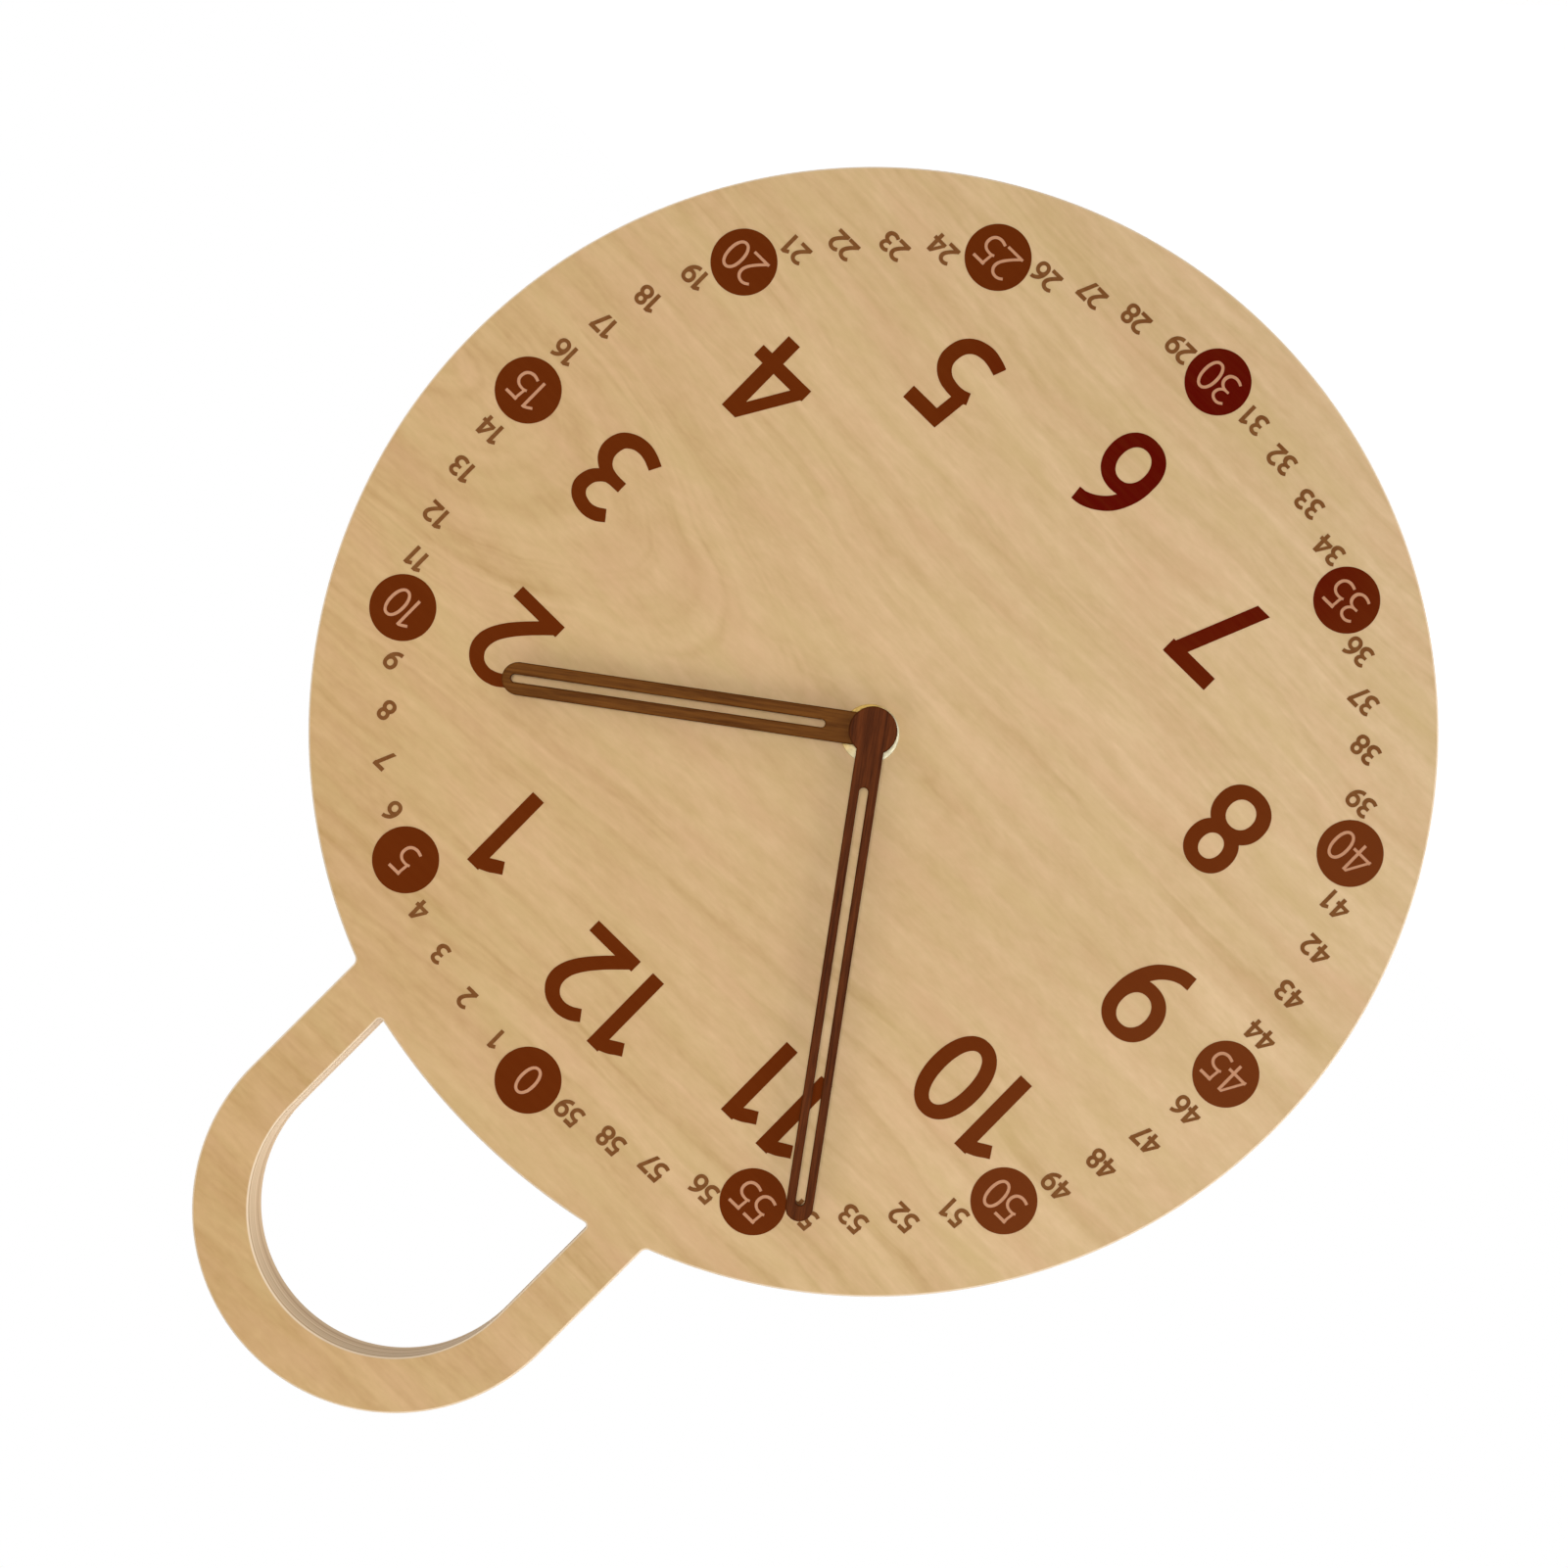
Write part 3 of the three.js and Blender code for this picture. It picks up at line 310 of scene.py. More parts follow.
# Walnut of the hands: light and dark
WALNUTS = {
    "hour_hand": ((114, 68, 23), (80, 42, 8)),
    "minute_hand": ((100, 48, 17), (61, 26, 5)),
}
WALNUT_EDGE = (58, 27, 9)
WALNUT_STREAK_SIZE = (0.0011, 0.004, 0.03)
WALNUT_PORE_SIZE = (0.0003, 0.0005, 0.004)
WALNUT_STREAK_SHARE = 0.7
WALNUT_PORE_SHARE = 0.3
WALNUT_RAMP = (0.36, 0.64)
WALNUT_FACING = (0.4, 0.9)
WALNUT_BUMP = 0.00005

# Ink: red round a place near the 6, and browner towards the left
INK_COLOURS = dict(brown=(100, 40, 5), left_brown=(109, 51, 18), red=(90, 8, 0), worn=(124, 60, 20))
RED_MIDDLE = (-0.015, 0, -0.108)
RED_REACH = (0.03, 0.075)
LEFT_REACH = (-0.06, -0.12)
INK_SOAK_SIZE = (0.02, 0.02, 0.0015)
INK_WEAR_RAMP = (0.4, 0.75, 0, 0.12)
INK_BUMP = 0.00002
LIGHT_INKS = {
    "minute_ink": ((116, 69, 33), (129, 84, 44)),
    "disc_digit_ink": ((200, 147, 112), (192, 138, 104)),
}
LIGHT_SOAK_SIZE = (0.006, 0.006, 0.0012)

# Metals and mouldings
TURNED_SIZE = (0.0004, 0.0004, 0.0004)
DRAWN_SIZE = (0.00012, 0.004, 0.004)
METALS = {
    "brass": dict(name="turned_brass", light=(228, 204, 150), dark=(214, 186, 126), roughness=0.5,
                  grain=TURNED_SIZE),
    "steel": dict(name="plated_steel", light=(196, 198, 202), dark=(178, 181, 186), roughness=0.3,
                  grain=TURNED_SIZE),
    "copper": dict(name="enamelled_copper", light=(190, 112, 58), dark=(168, 92, 44), roughness=0.35,
                   grain=DRAWN_SIZE),
}
METAL_CLOUD_SIZE = (0.004, 0.004, 0.004)
METAL_DULLNESS = (0.8, 1.25)
METAL_BUMP = 0.00001
# The washer's colour runs from a painted highlight on its left to a darker yellow of painted shade on its
# right
WASHER_PAINTED_HIGHLIGHT = (184, 178, 152)
WASHER_YELLOW_IN_PAINTED_SHADE = (156, 128, 70)
WASHER_GRAIN_SIZE = (0.0008, 0.0008, 0.0008)
WASHER_ROUGHNESS = (0.5, 0.62)
MOULDINGS = {
    "black_plastic": dict(name="black_moulding", light=(30, 30, 32), dark=(24, 24, 26), roughness=0.55,
                          depth=0.00002),
    "white_plastic": dict(name="white_moulding", light=(230, 227, 217), dark=(220, 216, 204), roughness=0.42,
                          depth=0.00001),
    "rubber": dict(name="gasket_rubber", light=(36, 36, 36), dark=(26, 26, 26), roughness=0.8, depth=0.00004),
}
MOULDING_GRAIN_SIZE = (0.0005, 0.0005, 0.0005)
MOULDING_CLOUD_SIZE = (0.012, 0.012, 0.012)
MOULDING_SPREAD = (-0.06, 0.08)

# Circuit and battery
MASK_COLOUR = (38, 92, 60)
TRACK_COLOUR = (58, 124, 80)
TRACK_SIZE = (0.006, 0.01, 0.0006)
TRACK_RAMP = (0.5, 0.54)
TRACK_HEIGHT = 0.00003
SLEEVE_COLOURS = ((88, 92, 98), (112, 116, 122))
BAND_COLOURS = ((190, 140, 84), (206, 158, 100))
CELL_END_COLOUR = (190, 190, 192)
CELL_GRAIN_SIZE = (0.03, 0.0012, 0.0012)
CELL_ROUGHNESS = (0.3, 0.42)
CELL_METAL_SHARE = 0.6
BAND_SHARES = (0.27, 0.272)
CELL_END_DEPTHS = (0.0002, 0.0001)

# Light: each lamp's side as seen from the clock, its strength and how wide its disc is, in degrees
LIGHTS = {
    "front_light": dict(towards=(0, -1, 0), strength=1.52, softness=14),
    "top_light": dict(towards=(0.05, -0.6, 0.8), strength=0.5, softness=45),
    "fill_light": dict(towards=(-0.85, -0.45, 0.1), strength=0.75, softness=35),
    "left_light": dict(towards=(-1, 0.3, 0.1), strength=1.6, softness=30),
    "right_light": dict(towards=(1, 0.3, 0.1), strength=1.2, softness=30),
    "low_light": dict(towards=(-0.56, 0.3, -0.77), strength=1.45, softness=30, shadow=False),
    "rear_light": dict(towards=(-0.25, 0.8, 0.55), strength=1.0, softness=60),
}
SKY_STRENGTH = 0.22
WHITE = (1, 1, 1, 1)

# Floor: how far below the clock it lies, half its side, and what it adds to its shade to look white
FLOOR_DROP = 0.25
FLOOR_HALF = 4
FLOOR_COLOUR = (0.8, 0.8, 0.8, 1)
FLOOR_GLOW = 0.5


# Places taken from the frame
def middle(node):
    low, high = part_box(node)
    return (low + high) / 2


DIAL = Vector((0, 0, middle("front_washer").z))
FACE_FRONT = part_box("face_panel")[0].y
POCKET_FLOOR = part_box("rubber_washer")[0].y
CASE_LOW, CASE_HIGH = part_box("movement_case")
SLOTS = {part["node"]: part["material_slot"] for part in frame["record"]["subparts"]}


# Flat outlines, anticlockwise round the material and clockwise round a hole
def arc(centre, radius, start, end, sides):
    steps = max(2, math.ceil(sides * abs(end - start) / 360))
    angles = [math.radians(start + (end - start) * step / steps) for step in range(steps + 1)]
    return [Vector((centre[0] + radius * math.cos(a), centre[1] + radius * math.sin(a))) for a in angles]


def closed(points):
    """The points without repeats of their neighbour."""
    return [p for p, q in zip(points, points[1:] + points[:1]) if (p - q).length > MERGE_DISTANCE]


def board_outline():
    outer_half = OPENING_WIDTH / 2 + LIMB_WIDTH
    x = outer_half + LIMB_FILLET
    y = math.sqrt((FACE_RADIUS + LIMB_FILLET) ** 2 - x ** 2)
    angle = math.degrees(math.atan2(y, x))
    points = arc((0, ARCH_HEIGHT), outer_half, 0, 180, BOARD_SIDES)
    points += arc((-x, y), LIMB_FILLET, 0, -angle, SMALL_SIDES)
    points += arc((0, 0), FACE_RADIUS, 180 - angle, 360 + angle, BOARD_SIDES)
    points += arc((x, y), LIMB_FILLET, 180 + angle, 180, SMALL_SIDES)
    return closed(points)


def opening_outline():
    half = OPENING_WIDTH / 2
    foot_y = FACE_RADIUS + OPENING_FOOT_RISE - OPENING_FOOT_RADIUS
    x = half - OPENING_CORNER
    rise = math.sqrt((OPENING_FOOT_RADIUS + OPENING_CORNER) ** 2 - x ** 2)
    angle = math.degrees(math.atan2(rise, x))
    points = arc((0, ARCH_HEIGHT), half, 0, 180, BOARD_SIDES)
    points += arc((-x, foot_y + rise), OPENING_CORNER, 180, 360 - angle, SMALL_SIDES)
    points += arc((0, foot_y), OPENING_FOOT_RADIUS, 180 - angle, angle, BOARD_SIDES)
    points += arc((x, foot_y + rise), OPENING_CORNER, 180 + angle, 360, SMALL_SIDES)
    return closed(points)[::-1]


def pocket_outline():
    left, right = CASE_LOW.x - POCKET_CLEARANCE, CASE_HIGH.x + POCKET_CLEARANCE
    low, high = CASE_LOW.z - POCKET_CLEARANCE - DIAL.z, CASE_HIGH.z + POCKET_CLEARANCE - DIAL.z
    r = POCKET_CORNER
    corners = [(right - r, high - r), (left + r, high - r), (left + r, low + r), (right - r, low + r)]
    points = []
    for quarter, corner in enumerate(corners):
        points += arc(corner, r, 90 * quarter, 90 * quarter + 90, SMALL_SIDES)
    return closed(points)[::-1]


def hand_outline(length, width, slot, slot_start, tip_wall):
    half = width / 2
    hub_angle = math.degrees(math.acos(half / HUB_RADIUS))
    blade = arc((0, length - half), half, 0, 180, SMALL_SIDES)
    hub = arc((0, 0), HUB_RADIUS, 180 - hub_angle, 360 + hub_angle, SMALL_SIDES)
    slot_half = slot / 2
    hole = arc((0, length - tip_wall - slot_half), slot_half, 0, 180, SLOT_SIDES)
    hole += arc((0, slot_start + slot_half), slot_half, 180, 360, SLOT_SIDES)
    return closed(blade + hub), closed(hole)[::-1]


def circle(radius):
    return closed(arc((0, 0), radius, 0, 360, SMALL_SIDES))


def moved_in(outline, distance):
    """The outline moved into the material on its left, with mitred corners."""
    moved = []
    for before, here, after in zip(outline[-1:] + outline[:-1], outline, outline[1:] + outline[:1]):
        one, two = (here - before).normalized(), (after - here).normalized()
        left = Vector((-one.y - two.y, one.x + two.x))
        moved.append(here + left * (distance / (1 + one.dot(two))))
    return moved


# Solids from outlines: rings of vertices at a depth, walls between rings, and caps across them
def add_ring(mesh, outline, y):
    return [mesh.verts.new((point.x, y, point.y)) for point in outline]


def add_wall(mesh, first, second):
    for here, there in zip(range(len(first)), [*range(1, len(first)), 0]):
        mesh.faces.new((first[here], first[there], second[there], second[here]))


def add_cap(mesh, rings):
    """A flat face over the first ring, with the others left open."""
    vertices = [vertex for ring in rings for vertex in ring]
    for triangle in tessellate_polygon([[vertex.co for vertex in ring] for ring in rings]):
        mesh.faces.new([vertices[corner] for corner in triangle])


def edge_levels(edge, rounding):
    """Depth and inset of each ring round an edge, from wall to flat. A rear edge takes a minus rounding."""
    angles = [math.pi / 2 * step / FILLET_STEPS for step in range(FILLET_STEPS + 1)]
    return [(edge + rounding * (1 - math.sin(a)), abs(rounding) * (1 - math.cos(a))) for a in angles]


def add_edge(mesh, outline, front, rear, front_rounding, rear_rounding):
    """Walls round an outline from its front ring to its rear ring, with rounded edges."""
    levels = edge_levels(front, front_rounding)[::-1] + edge_levels(rear, -rear_rounding)
    rings = [add_ring(mesh, moved_in(outline, inset), y) for y, inset in levels]
    for first, second in zip(rings, rings[1:]):
        add_wall(mesh, first, second)
    return rings[0], rings[-1]


def added(name, data):
    """A new object of the data, in the scene."""
    made = bpy.data.objects.new(name, data)
    bpy.context.scene.collection.objects.link(made)
    return made


def mesh_data(mesh, name):
    data = bpy.data.meshes.new(name)
    mesh.to_mesh(data)
    mesh.free()
    return data


def finished(mesh, name, place=DIAL, bearing=0):
    """An object of the mesh, set on the dial's axis and turned clockwise by its bearing."""
    bmesh.ops.remove_doubles(mesh, verts=mesh.verts, dist=MERGE_DISTANCE)
    bmesh.ops.recalc_face_normals(mesh, faces=mesh.faces)
    for face in mesh.faces:
        face.smooth = True
    data = mesh_data(mesh, name)
    data.set_sharp_from_angle(angle=math.radians(SHARP_ANGLE))
    made = added(name, data)
    made.location = place
    made.rotation_euler = (0, math.radians(bearing), 0)
    made.modifiers.new("even_normals", "WEIGHTED_NORMAL").keep_sharp = True
    return made


def dressed(piece, body, slot, material, *nodes):
    """The piece rides on a body, takes a finish and stands for CAD nodes."""
    piece.data.materials.append(material)
    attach(piece, body)
    if nodes:
        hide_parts(*nodes)
    return piece


def make_board(material):
    """The face and its loop in one, with the pocket for the movement and the hole for its post."""
    mesh = bmesh.new()
    outer = add_edge(mesh, board_outline(), FACE_FRONT, 0, BOARD_ROUNDING, BOARD_ROUNDING)
    opening = add_edge(mesh, opening_outline(), FACE_FRONT, 0, BOARD_ROUNDING, BOARD_ROUNDING)
    pocket = add_edge(mesh, pocket_outline(), POCKET_FLOOR, 0, 0, POCKET_ROUNDING)
    hole = circle(POST_HOLE_RADIUS)[::-1]
    hole_front, hole_rear = add_ring(mesh, hole, FACE_FRONT), add_ring(mesh, hole, POCKET_FLOOR)
    add_wall(mesh, hole_front, hole_rear)
    add_cap(mesh, [outer[0], opening[0], hole_front])
    add_cap(mesh, [outer[1], opening[1], pocket[1]])
    add_cap(mesh, [pocket[0], hole_rear])
    return dressed(finished(mesh, "face_board"), "clock_body", "maple", material, "face_panel")


def make_hand(node, measures, bearing, bore, bore_depth, material):
    """A hand with its slot and its bore, which goes right through if it has no depth of its own."""
    front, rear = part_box(node)[0].y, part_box(node)[1].y
    mesh = bmesh.new()
    blade, slot = hand_outline(**measures)
    outer = add_edge(mesh, blade, front, rear, HAND_ROUNDING, HAND_REAR_ROUNDING)
    inner = add_edge(mesh, slot, front, rear, HAND_ROUNDING, HAND_REAR_ROUNDING)
    hole = circle(bore)[::-1]
    hole_end = rear - bore_depth if bore_depth else front
    hole_front, hole_rear = add_ring(mesh, hole, hole_end), add_ring(mesh, hole, rear)
    add_wall(mesh, hole_front, hole_rear)
    add_cap(mesh, [outer[0], inner[0]] if bore_depth else [outer[0], inner[0], hole_front])
    add_cap(mesh, [outer[1], inner[1], hole_rear])
    if bore_depth:
        add_cap(mesh, [hole_front])
    return dressed(finished(mesh, node + "_wood", bearing=bearing), node, "walnut", material, node)


def make_washer(material):
    """The ring under the nut, off the shaft's centre as far as its bore lets it."""
    low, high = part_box("front_washer")
    mesh = bmesh.new()
    outer = add_edge(mesh, circle(WASHER_RADIUS), low.y, high.y, WASHER_ROUNDING, WASHER_ROUNDING)
    inner = add_edge(mesh, circle(WASHER_BORE)[::-1], low.y, high.y, WASHER_ROUNDING, WASHER_ROUNDING)
    add_cap(mesh, [outer[0], inner[0]])
    add_cap(mesh, [outer[1], inner[1]])
    aside, above = WASHER_SHIFT
    washer = finished(mesh, "washer_finish", DIAL + Vector((aside, 0, above)))
    return dressed(washer, "clock_body", "brass", material, "front_washer")


def make_softened(node, body, rounding, material):
    """A copy of a CAD node whose edges are rounded."""
    source = frame["nodes"][node]
    mesh = bmesh.new()
    mesh.from_mesh(source.data)
    bmesh.ops.remove_doubles(mesh, verts=mesh.verts, dist=MERGE_DISTANCE)
    flat = math.radians(FLAT_ANGLE)
    bmesh.ops.dissolve_limit(mesh, angle_limit=flat, verts=mesh.verts, edges=mesh.edges)
    for face in mesh.faces:
        face.smooth = True
    made = added(node + "_finish", mesh_data(mesh, node + "_finish"))
    made.matrix_world = source.matrix_world
    bevel = made.modifiers.new("rounding", "BEVEL")
    bevel.width = rounding
    bevel.segments = BEVEL_STEPS
    bevel.angle_limit = math.radians(SHARP_ANGLE)
    bevel.use_clamp_overlap = False
    made.modifiers.new("even_normals", "WEIGHTED_NORMAL")
    return dressed(made, body, SLOTS[node], material, node)


# Digits
def pen_path(points):
    """The points of a smooth line through the given ones, each with its pen weight."""
    ends = [2 * Vector(points[0]) - Vector(points[1]), 2 * Vector(points[-1]) - Vector(points[-2])]
    given = [ends[0], *map(Vector, points), ends[1]]
    path = []
    for a, b, c, d in zip(given, given[1:], given[2:], given[3:]):
        for step in range(CURVE_STEPS):
            t = step / CURVE_STEPS
            bend = (2 * a - 5 * b + 4 * c - d) * t ** 2 + (3 * b - a - 3 * c + d) * t ** 3
            path.append((2 * b + (c - a) * t + bend) / 2)
    return [*path, given[-2]]


def pen_outline(path, across, along):
    """Both sides of a pen line that is wider across than along the writing."""
    left, right = [], []
    for before, here, after in zip(path[:1] + path[:-1], path, path[1:] + path[-1:]):
        run = (after - before).xy.normalized()
        side = Vector((-run.y * across, run.x * along)) * (here.z / 2)
        left.append(here.xy + side)
        right.append(here.xy - side)
    return right + left[::-1]


def ring_outlines(centre_x, centre_y, half_width, half_height, weight, across, along):
    outlines = []
    for side in (1, -1):
        rx, ry = half_width + side * weight * across / 2, half_height + side * weight * along / 2
        points = []
        for step in range(RING_SIDES):
            angle = 2 * math.pi * step / RING_SIDES
            c, s = math.cos(angle), math.sin(angle)
            x = math.copysign(abs(c) ** (2 / SQUARENESS), c)
            y = math.copysign(abs(s) ** (2 / SQUARENESS), s)
            points.append(Vector((centre_x + rx * x, centre_y + ry * y)))
        outlines.append(points)
    return outlines


def digit_strokes(digit, across, along):
    """The digit's strokes, each a list of outlines, with the pen kept between foot and head."""
    drawing = DIGITS[digit]
    stretch = (1 - along) / (1 - PEN_ROOM)

    def level(y):
        return along / 2 + (y - FOOT_LINE) * stretch

    strokes = []
    for x, y, half_width, half_height, weight in drawing.get("rings", ()):
        strokes.append(ring_outlines(x, level(y), half_width, half_height * stretch, weight, across, along))
    for points in drawing.get("curves", ()):
        path = pen_path([(x, level(y), weight) for x, y, weight in points])
        strokes.append([pen_outline(path, across, along)])
    lines = drawing.get("lines", ())
    for points, weight in zip(lines, drawing.get("weights", (1,) * len(lines))):
        path = [Vector((x, level(y), weight)) for x, y in points]
        strokes.append([pen_outline(path, across, along)])
    return strokes


def inside(outlines, point):
    """Whether the point is inside by the even-odd rule."""
    crossed = False
    for outline in outlines:
        for a, b in zip(outline, outline[1:] + outline[:1]):
            if (a.y > point.y) != (b.y > point.y):
                if point.x < a.x + (point.y - a.y) * (b.x - a.x) / (b.y - a.y):
                    crossed = not crossed
    return crossed


def box_outline(left, bottom, right, top):
    return [Vector(corner) for corner in ((left, bottom), (right, bottom), (right, top), (left, top))]


def inked_triangles(outlines, inked):
    """Points, and the triangles between all outlines whose middle is inked."""
    points, edges = [], []
    for outline in outlines:
        start = len(points)
        points += outline
        edges += [(start + here, start + (here + 1) % len(outline)) for here in range(len(outline))]
    whole_hull = 0
    made = delaunay_2d_cdt(points, edges, [], whole_hull, MERGE_DISTANCE)
    corners, triangles = made[0], made[2]
    kept = []
    for triangle in triangles:
        centre = sum((corners[corner] for corner in triangle), Vector((0, 0))) / len(triangle)
        if inked(centre):
            kept.append(triangle)
    return corners, kept


def draw_digit(digit, style):
    """The digit's points and triangles, with its ink's middle at x = 0, and its width."""
    strokes = digit_strokes(digit, style["across"], style["along"])
    drawing = DIGITS[digit]
    clip = [box_outline(*drawing["clip"])] if "clip" in drawing else []
    hidden = [box_outline(*drawing["hidden"])] if "hidden" in drawing else []
    stem = strokes[:1]

    def inked(point):
        if clip and not inside(clip, point):
            return False
        if hidden and inside(hidden, point):
            return any(inside(stroke, point) for stroke in stem)
        return any(inside(stroke, point) for stroke in strokes)

    outlines = [outline for stroke in strokes for outline in stroke] + clip + hidden
    points, triangles = inked_triangles(outlines, inked)
    used = [points[corner].x for triangle in triangles for corner in triangle]
    centre = (min(used) + max(used)) / 2
    return [point - Vector((centre, 0)) for point in points], triangles, max(used) - min(used)


drawn = {}


def placed_digits(text, style, centre):
    """The text's digits about a centre: a list of points and triangles for each."""
    glyphs = []
    for digit in text:
        key = (digit, style["across"])
        if key not in drawn:
            drawn[key] = draw_digit(digit, style)
        glyphs.append(drawn[key])
    gap = style["gap_at_one"] if "1" in text else style["gap"]
    width = sum(glyph[2] for glyph in glyphs) + gap * (len(glyphs) - 1)
    height = style["height"]
    x = -width / 2
    placed = []
    for points, triangles, own_width in glyphs:
        shift = Vector((x + own_width / 2, -0.5))
        placed.append(([(point + shift) * height + centre for point in points], triangles))
        x += own_width + gap
    return placed


def add_print(mesh, points, triangles, proud=PRINT_PROUD):
    """A thin solid of the triangles on the board's front."""
    turn = Matrix.Rotation(math.radians(PRINT_TURN), 2)
    flat = [turn @ (point + PRINT_SHIFT) for point in points]
    front, rear = FACE_FRONT - proud, FACE_FRONT + PRINT_SUNK
    used = sorted({corner for triangle in triangles for corner in triangle})
    tops = {corner: mesh.verts.new((flat[corner].x, front, flat[corner].y)) for corner in used}
    feet = {corner: mesh.verts.new((flat[corner].x, rear, flat[corner].y)) for corner in used}
    sides = set()
    for triangle in triangles:
        mesh.faces.new([tops[corner] for corner in triangle])
        mesh.faces.new([feet[corner] for corner in reversed(triangle)])
        sides.update(zip(triangle, [*triangle[1:], triangle[0]]))
    for here, there in sides:
        if (there, here) not in sides:
            mesh.faces.new((tops[here], feet[here], feet[there], tops[there]))


def on_ring(minute):
    """The middle of a minute's numeral or disc."""
    angle = math.radians(360 * minute / MINUTES)
    nudge = Vector(MINUTE_NUDGES.get(minute, (0, 0))) * NUDGE
    return MINUTE_RING_CENTRE + Vector((math.sin(angle), math.cos(angle))) * MINUTE_RING + nudge


def make_hour_numerals(material):
    """The numerals 1 to 12, each at its own place."""
    mesh = bmesh.new()
    for text, numeral in HOUR_NUMERALS.items():
        for points, triangles in placed_digits(text, {**HOUR_PEN, **numeral}, Vector(numeral["centre"])):
            add_print(mesh, points, triangles)
    return dressed(finished(mesh, "hour_numerals"), "clock_body", None, material)


def make_minute_numerals(material):
    """The small numerals between the discs."""
    mesh = bmesh.new()
    for minute in range(MINUTES):
        if minute % DISC_STEP:
            for points, triangles in placed_digits(str(minute), MINUTE_STYLE, on_ring(minute)):
                add_print(mesh, points, triangles)
    return dressed(finished(mesh, "minute_numerals"), "clock_body", None, material)


def bounding_loops(triangles):
    """The triangles' outer edges, chained into loops of corner numbers."""
    sides = {edge for triangle in triangles for edge in zip(triangle, [*triangle[1:], triangle[0]])}
    after = {here: there for here, there in sides if (there, here) not in sides}
    loops = []
    while after:
        start, following = after.popitem()
        loop = [start]
        while following != start:
            loop.append(following)
            following = after.pop(following)
        loops.append(loop)
    return loops


def make_minute_discs(material):
    """Discs with their digits left open."""
    mesh = bmesh.new()
    for minute in range(0, MINUTES, DISC_STEP):
        centre = on_ring(minute)
        cut = []
        for points, triangles in placed_digits(str(minute), DISC_STYLE, centre):
            cut += [[points[corner] for corner in loop] for loop in bounding_loops(triangles)]
        rim = [point + centre for point in circle(DISC_RADIUS)]
        points, triangles = inked_triangles(
            [rim, *cut], lambda point: inside([rim], point) and not inside(cut, point))
        add_print(mesh, points, triangles)
    return dressed(finished(mesh, "minute_discs"), "clock_body", None, material)


def make_disc_numerals(material):
    """The pale digits that fill the openings of the discs."""
    mesh = bmesh.new()
    for minute in range(0, MINUTES, DISC_STEP):
        for points, triangles in placed_digits(str(minute), DISC_STYLE, on_ring(minute)):
            add_print(mesh, points, triangles, DISC_DIGIT_PROUD)
    return dressed(finished(mesh, "disc_numerals"), "clock_body", None, material)


# Shader building blocks
def shader(name):
    material = bpy.data.materials.new(name)
    material.use_nodes = True
    return material, material.node_tree, material.node_tree.nodes["Principled BSDF"]


def add_node(tree, kind, sockets, **settings):
    """A shader node; a socket takes a value or another node's output."""
    made = tree.nodes.new("ShaderNode" + kind)
    for key, value in settings.items():
        setattr(made, key, value)
    for key, value in sockets.items():
        if isinstance(value, bpy.types.NodeSocket):
            tree.links.new(value, made.inputs[key])
        else:
            made.inputs[key].default_value = value
    return made


def colour(red, green, blue):
    """The linear colour of an sRGB one in 0 to 255."""
    shares = [channel / 255 for channel in (red, green, blue)]
    return [s / 12.92 if s <= 0.04045 else ((s + 0.055) / 1.055) ** 2.4 for s in shares] + [1]


def sums(tree, operation, first, second=0.0, third=0.0):
    """What one step of arithmetic gives."""
    return add_node(tree, "Math", {0: first, 1: second, 2: third}, operation=operation).outputs[0]


def ramped(tree, value, low, high, start=0.0, end=1.0):
    """The value carried from the range of low to high to that of start to end, and held at both ends."""
    sockets = {"Value": value, "From Min": low, "From Max": high, "To Min": start, "To Max": end}
    return add_node(tree, "MapRange", sockets).outputs["Result"]


def blended(tree, share, first, second):
    """The first colour at a share of 0, and the second at 1."""
    sockets = {MIX_SHARE: share, MIX_FIRST: first, MIX_SECOND: second}
    return add_node(tree, "Mix", sockets, data_type="RGBA").outputs[MIX_RESULT]


def object_place(tree):
    """The place on the piece itself, whichever way it is turned."""
    return add_node(tree, "TexCoord", {}).outputs["Object"]


def axes_of(tree, vector):
    return add_node(tree, "SeparateXYZ", {0: vector}).outputs


def stretched(tree, vector, sizes):
    """The place in units of a pattern's own sizes along x, y and z."""
    scale = Vector([1 / size for size in sizes])
    return add_node(tree, "VectorMath", {0: vector, 1: scale}, operation="MULTIPLY").outputs[0]


def noise(tree, vector, sizes, detail=3.0, roughness=0.55, distortion=0.0):
    """Noise from 0 to 1, as large as the sizes along x, y and z."""
    sockets = {
        "Vector": stretched(tree, vector, sizes),
        "Scale": 1.0,
        "Detail": detail,
        "Roughness": roughness,
        "Distortion": distortion,
    }
    return add_node(tree, "TexNoise", sockets).outputs["Fac"]


def bumped(tree, bsdf, height, distance):
    bump = add_node(tree, "Bump", {"Height": height, "Strength": 1.0, "Distance": distance})
    tree.links.new(bump.outputs["Normal"], bsdf.inputs["Normal"])


def facing(tree):
    """How far the surface faces along the board's thickness, 0 to 1."""
    normal = add_node(tree, "NewGeometry", {}).outputs["Normal"]
    return sums(tree, "ABSOLUTE", axes_of(tree, normal)["Y"])


def coloured(tree, bsdf, shade):
    tree.links.new(shade, bsdf.inputs["Base Color"])


def dulled(tree, bsdf, roughness):
    tree.links.new(roughness, bsdf.inputs["Roughness"])


def matt(bsdf, roughness, specular):
    bsdf.inputs["Roughness"].default_value = roughness
    bsdf.inputs["Specular IOR Level"].default_value = specular


# Materials
def growth_depth(x):
    """How far the log's pith lies behind the board; it comes closer to the right of PITH_MIDDLE."""
    return PITH_DEPTH - PITH_BEND * max(x - PITH_MIDDLE, 0) ** 2


